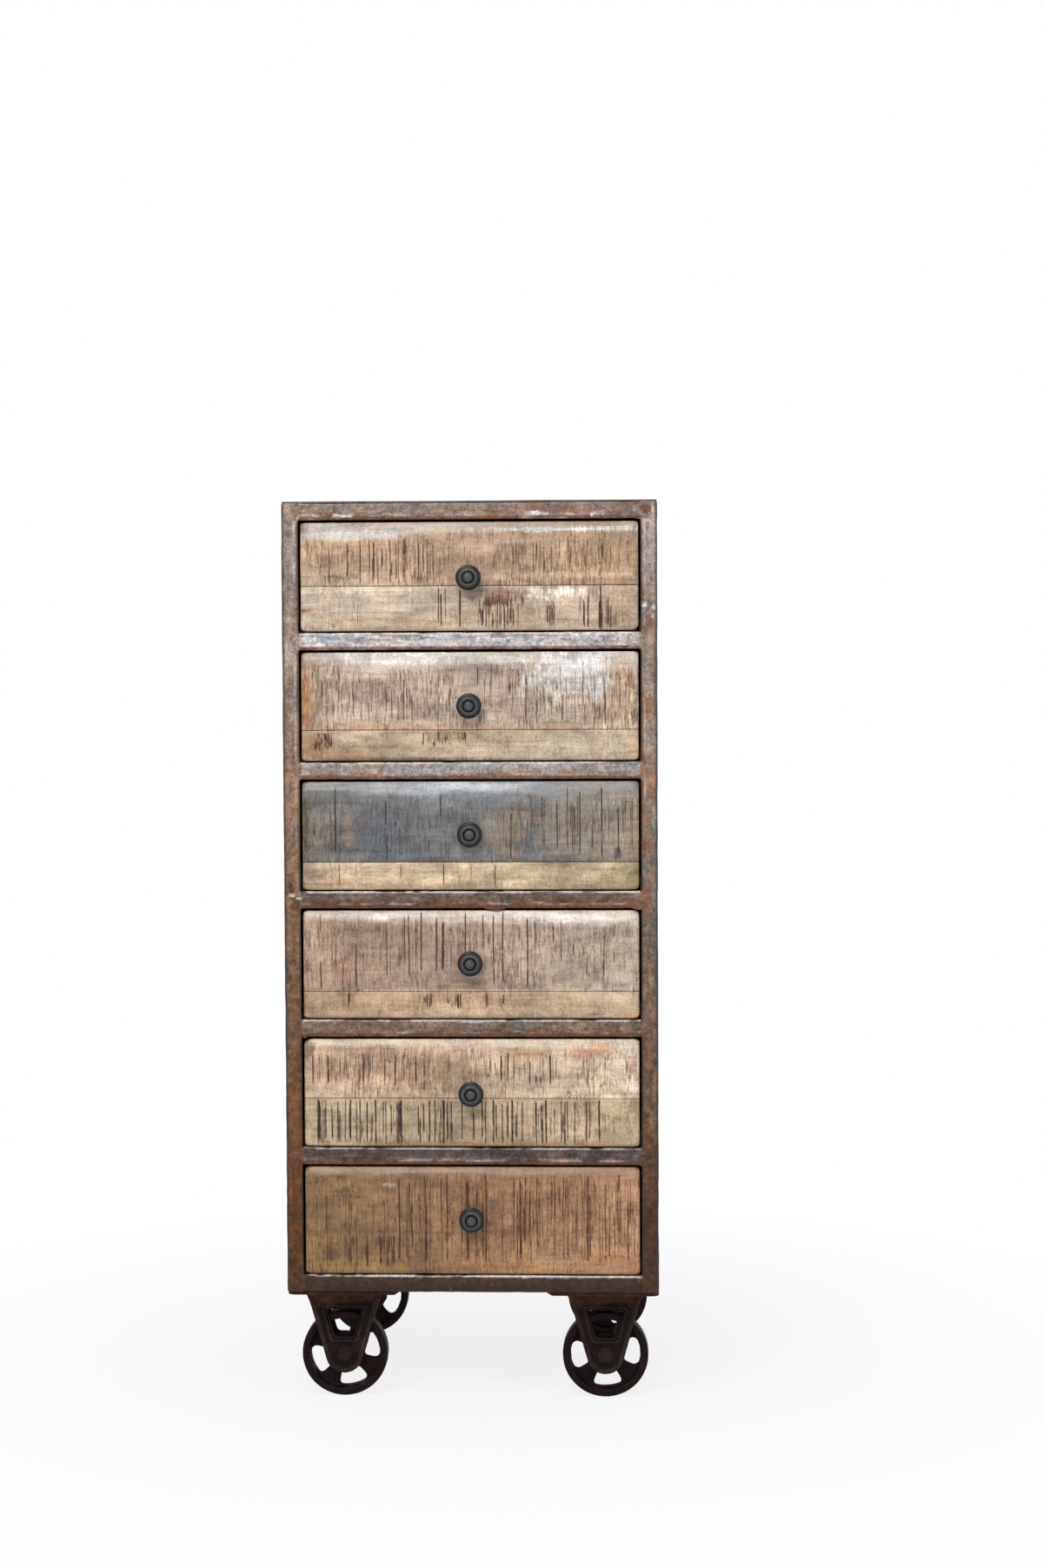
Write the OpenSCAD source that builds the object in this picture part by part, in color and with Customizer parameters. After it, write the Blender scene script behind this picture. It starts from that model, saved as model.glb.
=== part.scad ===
// Tall drawer cabinet: an angle-iron frame with sheet panels, six wooden
// drawers on steel runners, and four cast-iron casters that roll sideways.
// Millimetres. +Z up, front faces -Y, X to the right. The floor is z = 0, and
// X = Y = 0 is the middle of the floor space, knobs included.

/* [Body] */
// Width over the corner posts
body_w = 438; // [360:2:560]
// Depth over the corner posts
body_d = 400; // [330:2:520]
// Number of drawers
drawer_count = 6; // [2:1:6]
// Clear height of one drawer opening
opening_h = 131; // [110:1:170]

/* [Iron] */
// Leg of the angle iron
angle_leg = 20; // [18:1:26]
// Thickness of the angle iron
angle_t = 3; // [2:0.5:4]
// Thickness of the side, back and bottom sheets
sheet_t = 1; // [0.8:0.1:2]
// Thickness of the top sheet
top_t = 2; // [1:0.5:4]
// Diameter of a rivet through the back sheet
rivet_d = 4; // [3:0.5:5]

/* [Drawers] */
// Thickness of a drawer front
front_t = 20; // [16:1:24]
// How far the face stands ahead of the frame
front_proud = 1; // [0:0.5:3]
// Gap at each side of a front
front_side_gap = 2.5; // [1.5:0.5:4]
// Gap under a front
front_foot_gap = 2; // [1:0.5:4]
// Gap over a front
front_head_gap = 3; // [2:0.5:5]
// Width of the planed bevel round the face
bevel_w = 10; // [4:1:16]
// How far the bevel falls back at the edge
bevel_d = 4; // [1:0.5:6]
// Height of the drawer box
box_h = 100; // [70:1:104]
// Thickness of the box sides and back
box_t = 12; // [9:1:15]
// How far the box is set in from each side of the opening
box_inset = 4; // [3:0.5:8]
// Thickness of the drawer bottom
bottom_t = 5; // [3:0.5:6]
// Height of the drawer bottom above the lower edge of the box
bottom_lift = 8; // [5:1:12]
// Depth of the groove that holds the drawer bottom
groove_d = 5; // [3:0.5:7]

/* [Knobs] */
// Diameter of a knob
knob_d = 29.5; // [24:0.5:36]
// How far a knob stands ahead of the frame
knob_out = 24; // [20:0.5:30]
// Diameter of the knob's screw
screw_d = 4; // [3:0.5:5]

/* [Casters] */
// Diameter of a wheel
wheel_d = 102; // [80:1:130]
// Width of the tread
wheel_w = 25; // [20:1:30]
// Diameter of the axle pin
axle_d = 10; // [8:0.5:12]
// Height of the caster plate's underside above the axle
axle_drop = 78; // [70:1:95]
// Length of the caster plate, along the cabinet's width
plate_l = 127; // [120:1:160]
// Width of the caster plate, along the cabinet's depth
plate_w = 90; // [86:1:110]
// Thickness of the caster plate
plate_t = 5; // [4:0.5:7]
// Distance from the plate's edges to the middle of a bolt hole
hole_margin = 12.5; // [12:0.5:15]
// Diameter of the mounting bolts
bolt_d = 8; // [6:1:8]
// Distance from the posts' outer faces to the long edge of a caster plate
plate_inset = 5; // [4:1:30]

/* [Hidden] */
$fn = 64;

// Working clearances
stop_gap = 0.5;
ride_gap = 0.5;
guide_gap = 2;
groove_play = 0.2;
screw_play = 0.6;
bolt_play = 0.4;
hub_gap = 0.5;
wheel_play = 0.1;
axle_play = 0.2;
glue_line = 0.2;
seat_gap = 0.1;
// How far a cut runs past the faces that it opens
cut = 1;

// Heights of the lower board in each front, from the top drawer down
lower_board = [52, 35.5, 32, 31.5, 56.5, 0];
// Where the short butt joint cuts the top drawer's lower board
butt_joint_x = 153;
// How far each knob sits above the middle of its front, as drilled by hand
knob_rise = [-2, 0.5, 2, 2.5, 0.5, 3.5];
// How far each wheel has rolled from having an opening straight down
wheel_turn = [-16, -4, 20, -34];

// Frame
half_w = body_w / 2;
front_y = (knob_out - body_d) / 2;
back_y = front_y + body_d;
frame_bottom = wheel_d / 2 + axle_drop + plate_t;
pitch = opening_h + angle_leg;
frame_top = frame_bottom + drawer_count * pitch + angle_leg;
opening_w = body_w - 2 * angle_leg;
post_inner = half_w - angle_t;
sheet_inner = post_inner - sheet_t;
rail_back_y = front_y + angle_leg;
stop_y = back_y - angle_t - sheet_t;
stop_face_y = stop_y - angle_t;
stop_front_y = stop_y - angle_leg;
panel_bottom = frame_bottom + angle_t + sheet_t;
panel_top = frame_top - angle_t;
rivets_per_rail = 4;
rivet_margin = 40;
rivet_head_d = rivet_d * 1.7;
rivet_head_h = rivet_d * 0.35;
rivet_steps = 8;

// Drawers
front_w = opening_w - 2 * front_side_gap;
front_h = opening_h - front_foot_gap - front_head_gap;
front_face_y = front_y - front_proud;
front_rear_y = front_face_y + front_t;
box_w = opening_w - 2 * box_inset;
box_back_y = stop_face_y - stop_gap;
box_inner_w = box_w - 2 * box_t;
guide_x = box_w / 2 + guide_gap;

// Knobs: heights are measured out from the front's face
knob_l = knob_out - front_proud;
knob_r = knob_d / 2;
knob_base_r = knob_r * 0.6;
knob_base_h = 2.5;
knob_neck_r = knob_r * 0.44;
knob_rim_h = knob_l * 0.52;
knob_rim_t = 3.5;
knob_shoulder_r = knob_r * 0.8;
knob_shoulder_h = knob_l - 3;
knob_button_r = knob_r * 0.41;
knob_groove_w = 1.2;
knob_groove_d = 1;
knob_dome_h = 2;
knob_under_h = knob_neck_r * 0.7;
knob_under_step = 1.5;
knob_bore_l = 12;
knob_rim_steps = 6;
screw_end_gap = 1;
washer_d = 12;
washer_t = 1;
screw_head_d = 8;
screw_head_h = 3;

// Casters
axle_z = wheel_d / 2;
hub_proud = 1;
hub_half = wheel_w / 2 + hub_proud;
leg_inner = hub_half + hub_gap;
leg_t = 3.5;
leg_rib_t = 1.5;
leg_outer = leg_inner + leg_t + leg_rib_t;
leg_top_w = 93;
leg_tip_r = 22;
leg_rib_w = 5;
leg_recess_top = axle_drop - 7;
tip_steps = 24;
window_top_w = 48.5;
window_foot_w = 28;
window_top_drop = 21;
window_foot_drop = 60;
window_rib_w = 2;
axle_head_d = axle_d + 3;
axle_head_h = 3;
axle_boss_wall = 1;
wheel_rim_t = 9;
wheel_chamfer = 1;
wheel_web_t = 7;
hub_wall = 8;
wheel_hub_r = axle_d / 2 + hub_wall;
wheel_opening_r = 22;
wheel_opening_a = 54;
wheel_spokes = 4;
bolt_head_d = 2 * bolt_d;
bolt_head_h = (bolt_head_d - bolt_d) / 2;
bolt_slot_w = 2;
bolt_slot_h = 2;
nut_w = 1.625 * bolt_d;
nut_h = 0.85 * bolt_d;
bolt_end = 2;
pad_margin = 4;
pad_l = plate_l + pad_margin;
pad_w = plate_inset + plate_w - angle_t + pad_margin;
caster_inset = plate_inset + plate_w / 2;

caster_names = ["front_left", "front_right", "rear_left", "rear_right"];
drawer_parts = ["front", "sides", "back", "bottom", "knob"];

// ---- Places ----

// Top face of rail i, counted from the bottom
function rail_z(i) = frame_bottom + angle_leg + i * pitch;
// Rail that drawer n stands on, counted from the top drawer
function drawer_z(n) = rail_z(drawer_count - n);
function knob_z(n) = drawer_z(n) + front_foot_gap + front_h / 2 + knob_rise[n - 1];
function caster_x(c) = (c % 2 == 0 ? -1 : 1) * (half_w - plate_l / 2);
function caster_y(c) = c < 2 ? front_y + caster_inset : back_y - caster_inset;
function rivet_x(k) =
    -half_w + rivet_margin + k * (body_w - 2 * rivet_margin) / (rivets_per_rail - 1);
function rivet_z(i) = rail_z(i) - angle_t + (angle_leg + angle_t) / 2;

// Points of an angle section: heel at the origin, legs along both axes
function angle_section() = [
    [0, 0], [angle_leg, 0], [angle_leg, angle_t],
    [angle_t, angle_t], [angle_t, angle_leg], [0, angle_leg]
];
// Points on an arc about a centre
function arc(centre, r, a0, a1, steps) =
    [for (k = [0:steps]) let (a = a0 + (a1 - a0) * k / steps) centre + r * [cos(a), sin(a)]];
// Points of a leg whose straight edges run from the top into a round tip about the origin
function leg_points(top_w, top_z, tip_r) =
    let (a = atan2(top_z, top_w / 2) - acos(tip_r / norm([top_w / 2, top_z])))
    concat(
        [[-top_w / 2, top_z]],
        arc([0, 0], tip_r, 180 - a, 360 + a, tip_steps),
        [[top_w / 2, top_z]]
    );

// ---- Shared shapes ----

module block(lo, hi) {
    translate(lo) cube(hi - lo);
}

// Angle bar along X, with its legs along +Y and +Z
module angle_x(length) {
    rotate([90, 0, 90]) linear_extrude(length) polygon(angle_section());
}

// Angle bar along +Y, with its legs along +X and +Z
module angle_y(length) {
    translate([0, length, 0]) rotate([90, 0, 0]) linear_extrude(length) polygon(angle_section());
}

// A bar or disc that lies along -Y from a point
module rod_y(p, d, length) {
    translate(p) rotate([90, 0, 0]) cylinder(d = d, h = length);
}

module hexagon_prism(width, height) {
    cylinder(d = width / cos(30), h = height, $fn = 6);
}

// Sends a shape made for the left side to one side or the other
module on_side(side) {
    mirror([side > 0 ? 1 : 0, 0, 0]) children();
}

module at_casters() {
    for (c = [0:3]) translate([caster_x(c), caster_y(c), 0]) children();
}

module at_bolts() {
    for (x = [-1, 1], y = [-1, 1])
        translate([x * (plate_l / 2 - hole_margin), y * (plate_w / 2 - hole_margin), 0]) children();
}

// ---- Frame ----

module post(x_side, y_side) {
    color("#5d4a40")
    translate([x_side * half_w, y_side < 0 ? front_y : back_y, frame_bottom])
    on_side(x_side)
    mirror([0, y_side > 0 ? 1 : 0, 0])
    linear_extrude(frame_top - frame_bottom) polygon(angle_section());
}

// Front rail with its upright leg between the posts and its flat leg behind them
module front_rail(z) {
    difference() {
        translate([-sheet_inner, front_y, z]) mirror([0, 0, 1]) angle_x(2 * sheet_inner);
        for (side = [-1, 1]) on_side(side)
            block(
                [-half_w, front_y - cut, z - angle_leg - cut],
                [-opening_w / 2, front_y + angle_t, z + cut]
            );
    }
}

module front_rails() {
    color("#5d4a40") for (i = [0:drawer_count]) front_rail(rail_z(i));
}

// Angle across the back that stops a drawer, with its upright leg against the back sheet
module stop_rail(i) {
    difference() {
        translate([-sheet_inner, stop_y, rail_z(i) - angle_t]) mirror([0, 1, 0]) angle_x(2 * sheet_inner);
        for (k = [0:rivets_per_rail - 1])
            rod_y([rivet_x(k), stop_y + cut, rivet_z(i)], rivet_d, angle_t + 2 * cut);
    }
}

// Top ring rail across the back, coped round the posts
module rear_top_rail() {
    difference() {
        translate([-post_inner, back_y, frame_top])
            mirror([0, 1, 0]) mirror([0, 0, 1]) angle_x(2 * post_inner);
        for (side = [-1, 1]) on_side(side)
            block(
                [-half_w, back_y - angle_t, frame_top - angle_leg - cut],
                [-opening_w / 2, back_y + cut, frame_top + cut]
            );
    }
}

// Bottom ring rail across the back: its flat leg stops at the caster pads
module rear_bottom_rail() {
    difference() {
        translate([-opening_w / 2, back_y, frame_bottom]) mirror([0, 1, 0]) angle_x(opening_w);
        for (side = [-1, 1]) on_side(side)
            block(
                [-half_w, back_y - angle_leg - cut, frame_bottom - cut],
                [pad_l - half_w, back_y - angle_t, frame_bottom + angle_t + cut]
            );
    }
}

module rear_rails() {
    color("#54433a") {
        for (i = [0:drawer_count - 1]) stop_rail(i);
        rear_top_rail();
        rear_bottom_rail();
    }
}

module side_top_rail() {
    translate([-half_w, rail_back_y, frame_top])
        mirror([0, 0, 1]) angle_y(body_d - 2 * angle_leg);
}

// Bottom ring rail at the side: its flat leg runs between the caster pads
module side_bottom_rail() {
    difference() {
        translate([-half_w, rail_back_y, frame_bottom]) angle_y(body_d - 2 * angle_leg);
        for (y = [front_y, back_y - angle_t - pad_w])
            block(
                [-post_inner, y, frame_bottom - cut],
                [-opening_w / 2 + cut, y + angle_t + pad_w, frame_bottom + angle_t + cut]
            );
    }
}

module side_rails() {
    color("#54433a") for (side = [-1, 1]) on_side(side) {
        side_top_rail();
        side_bottom_rail();
    }
}

// Runner: a ledge under the box and an upright that guides it
module runners(side) {
    color("#4c3e37") on_side(side)
        for (i = [0:drawer_count - 1])
            translate([-guide_x - angle_t, rail_back_y, rail_z(i) - angle_t])
                angle_y(stop_front_y - rail_back_y);
}

module side_panel(side) {
    color("#66544a") on_side(side)
        block(
            [-post_inner, front_y + angle_t, panel_bottom],
            [-sheet_inner, stop_y, panel_top]
        );
}

module back_panel() {
    color("#66544a") difference() {
        block([-post_inner, stop_y, panel_bottom], [post_inner, stop_y + sheet_t, panel_top]);
        for (i = [0:drawer_count - 1], k = [0:rivets_per_rail - 1])
            rod_y([rivet_x(k), stop_y + sheet_t + cut, rivet_z(i)], rivet_d, sheet_t + 2 * cut);
    }
}

module bottom_panel() {
    color("#4c3e37") difference() {
        block(
            [-post_inner, front_y + angle_t, panel_bottom - sheet_t],
            [post_inner, back_y - angle_t, panel_bottom]
        );
        at_casters() at_bolts()
            translate([0, 0, panel_bottom - sheet_t - cut])
                cylinder(d = bolt_d + bolt_play, h = sheet_t + 2 * cut);
    }
}

module top_panel() {
    color("#66544a")
        block([-half_w, front_y, frame_top], [half_w, back_y, frame_top + top_t]);
}

// Rivet with a low round head outside and its shank closed flush inside
module rivet() {
    dome_r = (pow(rivet_head_d / 2, 2) + pow(rivet_head_h, 2)) / (2 * rivet_head_h);
    half_a = asin(rivet_head_d / 2 / dome_r);
    rotate([-90, 0, 0]) rotate_extrude() polygon(concat(
        [[0, -sheet_t - angle_t], [rivet_d / 2, -sheet_t - angle_t], [rivet_d / 2, 0]],
        arc([0, rivet_head_h - dome_r], dome_r, 90 - half_a, 90, rivet_steps)
    ));
}

module panel_rivets() {
    color("#3f342e") for (i = [0:drawer_count - 1], k = [0:rivets_per_rail - 1])
        translate([rivet_x(k), stop_y + sheet_t, rivet_z(i)]) rivet();
}

// ---- Casters ----

// Plates welded into the bottom corners, for the casters to bolt to
module caster_pads() {
    color("#4c3e37") difference() {
        for (x_side = [-1, 1], y = [front_y + angle_t, back_y - angle_t - pad_w]) on_side(x_side)
            block([-post_inner, y, frame_bottom], [pad_l - half_w, y + pad_w, frame_bottom + angle_t]);
        at_casters() at_bolts()
            translate([0, 0, frame_bottom - cut]) cylinder(d = bolt_d + bolt_play, h = angle_t + 2 * cut);
    }
}

// Slotted countersunk bolts, flush with the underside of the plates
module caster_bolts() {
    color("#2b2523") at_casters() at_bolts() translate([0, 0, frame_bottom - plate_t]) difference() {
        union() {
            cylinder(d1 = bolt_head_d, d2 = bolt_d, h = bolt_head_h);
            cylinder(d = bolt_d, h = plate_t + angle_t + sheet_t + nut_h + bolt_end);
        }
        block([-bolt_head_d, -bolt_slot_w / 2, -cut], [bolt_head_d, bolt_slot_w / 2, bolt_slot_h]);
    }
}

module caster_nuts() {
    color("#2b2523") at_casters() at_bolts() translate([0, 0, panel_bottom]) difference() {
        hexagon_prism(nut_w, nut_h);
        translate([0, 0, -cut]) cylinder(d = bolt_d + bolt_play / 2, h = nut_h + 2 * cut);
    }
}

module window_outline(border) {
    top_z = axle_drop - window_top_drop + border;
    foot_z = axle_drop - window_foot_drop - border;
    polygon([
        [-window_foot_w / 2 - border, foot_z], [window_foot_w / 2 + border, foot_z],
        [window_top_w / 2 + border, top_z], [-window_top_w / 2 - border, top_z]
    ]);
}

// One leg of the fork, about the axle, with its inner face at y = 0 and its ribs to -Y
module bracket_leg() {
    rotate([90, 0, 0]) difference() {
        union() {
            linear_extrude(leg_t) polygon(leg_points(leg_top_w, axle_drop, leg_tip_r));
            linear_extrude(leg_t + leg_rib_t) difference() {
                polygon(leg_points(leg_top_w, axle_drop, leg_tip_r));
                polygon(leg_points(leg_top_w - 2 * leg_rib_w, leg_recess_top, leg_tip_r - leg_rib_w));
            }
            linear_extrude(leg_t + leg_rib_t) window_outline(window_rib_w);
            cylinder(r = axle_head_d / 2 + axle_boss_wall, h = leg_t + leg_rib_t);
        }
        translate([0, 0, -cut]) linear_extrude(leg_t + leg_rib_t + 2 * cut) window_outline(0);
        translate([0, 0, -cut]) cylinder(d = axle_d + axle_play, h = leg_t + leg_rib_t + 2 * cut);
    }
}

module caster_bracket(c) {
    color("#2a2321") translate([caster_x(c), caster_y(c), 0]) union() {
        difference() {
            block(
                [-plate_l / 2, -plate_w / 2, axle_z + axle_drop],
                [plate_l / 2, plate_w / 2, frame_bottom]
            );
            at_bolts() translate([0, 0, axle_z + axle_drop - cut]) {
                cylinder(d = bolt_d + bolt_play, h = plate_t + 2 * cut);
                cylinder(
                    d1 = bolt_head_d + bolt_play + 2 * cut, d2 = bolt_d + bolt_play,
                    h = bolt_head_h + cut
                );
            }
        }
        translate([0, -leg_inner, axle_z]) bracket_leg();
        mirror([0, 1, 0]) translate([0, -leg_inner, axle_z]) bracket_leg();
    }
}

module caster_axles() {
    color("#2b2523") at_casters() translate([0, 0, axle_z]) {
        rod_y([0, leg_outer + axle_head_h, 0], axle_head_d, axle_head_h);
        rod_y([0, leg_outer, 0], axle_d, 2 * leg_outer);
        rod_y([0, -leg_outer, 0], axle_head_d, axle_head_h);
    }
}

// Half of the wheel's section, as radius and height, from the bore out to the tread
module wheel_section() {
    r = wheel_d / 2;
    rim_r = r - wheel_rim_t;
    bore_r = (axle_d + wheel_play) / 2;
    web = wheel_web_t / 2;
    tread = wheel_w / 2;
    polygon([
        [bore_r, -hub_half], [wheel_hub_r, -hub_half], [wheel_hub_r, -web], [rim_r, -web],
        [rim_r, -tread], [r - wheel_chamfer, -tread], [r, wheel_chamfer - tread],
        [r, tread - wheel_chamfer], [r - wheel_chamfer, tread], [rim_r, tread],
        [rim_r, web], [wheel_hub_r, web], [wheel_hub_r, hub_half], [bore_r, hub_half]
    ]);
}

// Opening between two spokes: a sector of the web about the +X axis
module spoke_opening() {
    r = wheel_d / 2 - wheel_rim_t;
    half_a = wheel_opening_a / 2;
    reach = 2 * r;
    linear_extrude(wheel_web_t + 2 * cut, center = true) intersection() {
        difference() {
            circle(r = r);
            circle(r = wheel_opening_r);
        }
        polygon([[0, 0], reach * [cos(half_a), -sin(half_a)], reach * [cos(half_a), sin(half_a)]]);
    }
}

module wheel(c) {
    color("#241e1c") translate([caster_x(c), caster_y(c), axle_z]) rotate([90, wheel_turn[c], 0])
        difference() {
            rotate_extrude() wheel_section();
            for (k = [0:wheel_spokes - 1]) rotate([0, 0, 90 + k * 360 / wheel_spokes]) spoke_opening();
        }
}

// ---- Drawers ----

// A front with its face bevelled on all four sides, standing at z = 0
module bevelled_front() {
    edge_t = front_t - bevel_d;
    intersection() {
        translate([-front_w / 2, front_rear_y, 0]) rotate([90, 0, 90]) linear_extrude(front_w) polygon([
            [0, 0], [-edge_t, 0], [-front_t, bevel_w],
            [-front_t, front_h - bevel_w], [-edge_t, front_h], [0, front_h]
        ]);
        translate([0, front_rear_y, 0]) linear_extrude(front_h) polygon([
            [-front_w / 2, 0], [-front_w / 2, -edge_t], [bevel_w - front_w / 2, -front_t],
            [front_w / 2 - bevel_w, -front_t], [front_w / 2, -edge_t], [front_w / 2, 0]
        ]);
    }
}

// The stretch of a front between two sides and two heights, less its share of the glue line
module board(x0, x1, z0, z1) {
    glue = glue_line / 2;
    intersection() {
        bevelled_front();
        block([x0 + glue, front_face_y - cut, z0 + glue], [x1 - glue, front_rear_y + cut, z1 - glue]);
    }
}

// Boards glued edge to edge: the top drawer's lower board is in two lengths
module front_boards(n) {
    split = lower_board[n - 1];
    below = -front_h;
    board(-front_w, front_w, split > 0 ? split : below, 2 * front_h);
    if (split > 0 && n == 1) {
        board(-front_w, butt_joint_x, below, split);
        board(butt_joint_x, front_w, below, split);
    }
    if (split > 0 && n > 1) board(-front_w, front_w, below, split);
}

// The drawer bottom, grown by a clearance to cut its grooves
module bottom_board(n, play) {
    reach_x = box_inner_w / 2 + groove_d + play / 2;
    z = drawer_z(n) + ride_gap + bottom_lift - play / 2;
    block(
        [-reach_x, front_rear_y - groove_d - play / 2, z],
        [reach_x, box_back_y - box_t + groove_d + play / 2, z + bottom_t + play]
    );
}

module drawer_front(n) {
    color("#b08d68") difference() {
        translate([0, 0, drawer_z(n) + front_foot_gap]) front_boards(n);
        rod_y([0, front_rear_y + cut, knob_z(n)], screw_d + screw_play, front_t + 2 * cut);
        bottom_board(n, groove_play);
    }
}

module drawer_sides(n) {
    z = drawer_z(n) + ride_gap;
    color("#a98a62") difference() {
        for (side = [-1, 1]) on_side(side)
            block([-box_w / 2, front_rear_y, z], [-box_inner_w / 2, box_back_y, z + box_h]);
        bottom_board(n, groove_play);
    }
}

module drawer_back(n) {
    z = drawer_z(n) + ride_gap;
    color("#a98a62") difference() {
        block([-box_inner_w / 2, box_back_y - box_t, z], [box_inner_w / 2, box_back_y, z + box_h]);
        bottom_board(n, groove_play);
    }
}

module drawer_bottom(n) {
    color("#9c8058") bottom_board(n, 0);
}

// Turned knob: base, neck, rim, rounded shoulder, groove and a button in the middle
module knob_section() {
    rim_top = knob_rim_h + knob_rim_t;
    shoulder_h = knob_shoulder_h - rim_top;
    groove_r = knob_button_r + knob_groove_w;
    groove_h = knob_shoulder_h - knob_groove_d;
    shoulder_w = knob_shoulder_r - groove_r;
    bore_r = (screw_d + groove_play) / 2;
    polygon(concat(
        [[0, knob_bore_l], [bore_r, knob_bore_l], [bore_r, 0]],
        [[knob_base_r, 0], [knob_base_r, knob_base_h / 2], [knob_neck_r, knob_base_h]],
        [[knob_neck_r, knob_rim_h - knob_under_h], [knob_r - knob_under_step, knob_rim_h]],
        arc([knob_r - knob_rim_t / 2, knob_rim_h + knob_rim_t / 2], knob_rim_t / 2, -45, 90, knob_rim_steps),
        [for (a = [0:15:90]) [groove_r + shoulder_w * cos(a), rim_top + shoulder_h * sin(a)]],
        [[groove_r, groove_h], [knob_button_r, groove_h]],
        [for (a = [0:15:90]) [knob_button_r * cos(a), knob_l - knob_dome_h * (1 - sin(a))]]
    ));
}

module drawer_knob(n) {
    washer_y = front_rear_y + washer_t;
    color("#2f3338") translate([0, 0, knob_z(n)]) {
        translate([0, front_face_y, 0]) rotate([90, 0, 0]) rotate_extrude() knob_section();
        rod_y([0, washer_y + seat_gap, 0], screw_d, front_t + washer_t + knob_bore_l - screw_end_gap);
        rod_y([0, washer_y + seat_gap + screw_head_h, 0], screw_head_d, screw_head_h);
        difference() {
            rod_y([0, washer_y, 0], washer_d, washer_t);
            rod_y([0, washer_y + cut, 0], screw_d + groove_play, washer_t + 2 * cut);
        }
    }
}

// ---- Assembly ----

post(-1, -1);  // post_front_left
post(1, -1);  // post_front_right
post(-1, 1);  // post_rear_left
post(1, 1);  // post_rear_right
front_rails();
rear_rails();
side_rails();
runners(-1);  // runners_left
runners(1);  // runners_right
side_panel(-1);  // side_panel_left
side_panel(1);  // side_panel_right
back_panel();
bottom_panel();
top_panel();
panel_rivets();
caster_pads();
caster_bolts();
caster_nuts();
caster_axles();
for (c = [0:3]) {
    caster_bracket(c);
    wheel(c);
}
for (n = [1:drawer_count]) {
    drawer_front(n);
    drawer_sides(n);
    drawer_back(n);
    drawer_bottom(n);
    drawer_knob(n);
}
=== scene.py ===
import itertools
import math
import random

import bmesh
import bpy
import numpy as np
from mathutils import Matrix, Vector


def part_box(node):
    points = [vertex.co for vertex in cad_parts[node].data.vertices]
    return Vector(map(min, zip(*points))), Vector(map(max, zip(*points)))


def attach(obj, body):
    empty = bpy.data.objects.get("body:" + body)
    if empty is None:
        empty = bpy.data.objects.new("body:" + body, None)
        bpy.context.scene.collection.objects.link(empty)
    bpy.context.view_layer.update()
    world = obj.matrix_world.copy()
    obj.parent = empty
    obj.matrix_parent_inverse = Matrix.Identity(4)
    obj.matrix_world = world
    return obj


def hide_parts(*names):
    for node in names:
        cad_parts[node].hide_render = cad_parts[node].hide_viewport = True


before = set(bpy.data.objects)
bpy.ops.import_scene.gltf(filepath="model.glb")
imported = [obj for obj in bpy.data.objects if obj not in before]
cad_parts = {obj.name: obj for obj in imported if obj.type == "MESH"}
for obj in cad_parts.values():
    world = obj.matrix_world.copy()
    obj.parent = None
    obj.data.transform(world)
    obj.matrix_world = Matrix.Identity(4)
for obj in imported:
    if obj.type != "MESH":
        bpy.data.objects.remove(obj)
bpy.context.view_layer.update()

mm = 0.001
scene = bpy.context.scene
scene.view_settings.view_transform = "Standard"
casterNames = ["front_left", "front_right", "rear_left", "rear_right"]
drawerNumbers = range(1, 7)


def srgb(red, green, blue):
    # linear colour from colour picker values of 0 to 255
    values = np.array([red, green, blue]) / 255
    return np.where(values <= 0.04045, values / 12.92, ((values + 0.055) / 1.055) ** 2.4)


def rgba(red, green, blue):
    return (*srgb(red, green, blue), 1)


def eased(value, low, high):
    # 0 at low, 1 at high, smooth between
    t = np.clip((value - low) / (high - low), 0, 1)
    return t * t * (3 - 2 * t)


def latticeNoise(points, size, seed):
    # smooth noise from -1 to 1, with cells of the given size along each axis
    cells = np.asarray(points, float) / size
    base = np.floor(cells).astype(np.int64)
    part = cells - base
    part = part * part * (3 - 2 * part)
    total = np.zeros(cells.shape[:-1])
    for corner in itertools.product((0, 1), repeat=cells.shape[-1]):
        place = base + np.array(corner)
        mixed = seed * 7919 + 101  # large odd factors stir the cell's place and the seed into a hash
        for axis in range(cells.shape[-1]):
            mixed = (mixed * 31337 + place[..., axis] * 73856093) & 0x7FFFFFFF
            mixed = ((mixed ^ (mixed >> 13)) * 1274126177) & 0x7FFFFFFF
        mixed = (mixed ^ (mixed >> 16)) & 0xFFFF
        weight = np.prod(np.where(np.array(corner) == 1, part, 1 - part), axis=-1)
        total = total + weight * (mixed / 32767.5 - 1)
    return total


def together(*parts):
    return np.stack(parts, axis=-1)


def flatNoise(u, v, sizeU, sizeV, seed):
    return latticeNoise(together(u / sizeU, v / sizeV), 1, seed)


def cadCorners(node):
    # both corners of a node's box, in millimetres
    return [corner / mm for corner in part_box(node)]


def ringQuads(first, second, count):
    # faces between two rings of points that start at the given numbers
    return [[first + s, first + (s + 1) % count, second + (s + 1) % count, second + s] for s in range(count)]


def gridQuads(nu, nv):
    return [[i * nv + j, (i + 1) * nv + j, (i + 1) * nv + j + 1, i * nv + j + 1]
            for i in range(nu - 1) for j in range(nv - 1)]


def gridRim(nu, nv):
    # the outer places of a grid, in order round it
    ring = [(i, 0) for i in range(nu)] + [(nu - 1, j) for j in range(1, nv)]
    return ring + [(i, nv - 1) for i in range(nu - 2, -1, -1)] + [(0, j) for j in range(nv - 2, 0, -1)]


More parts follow.
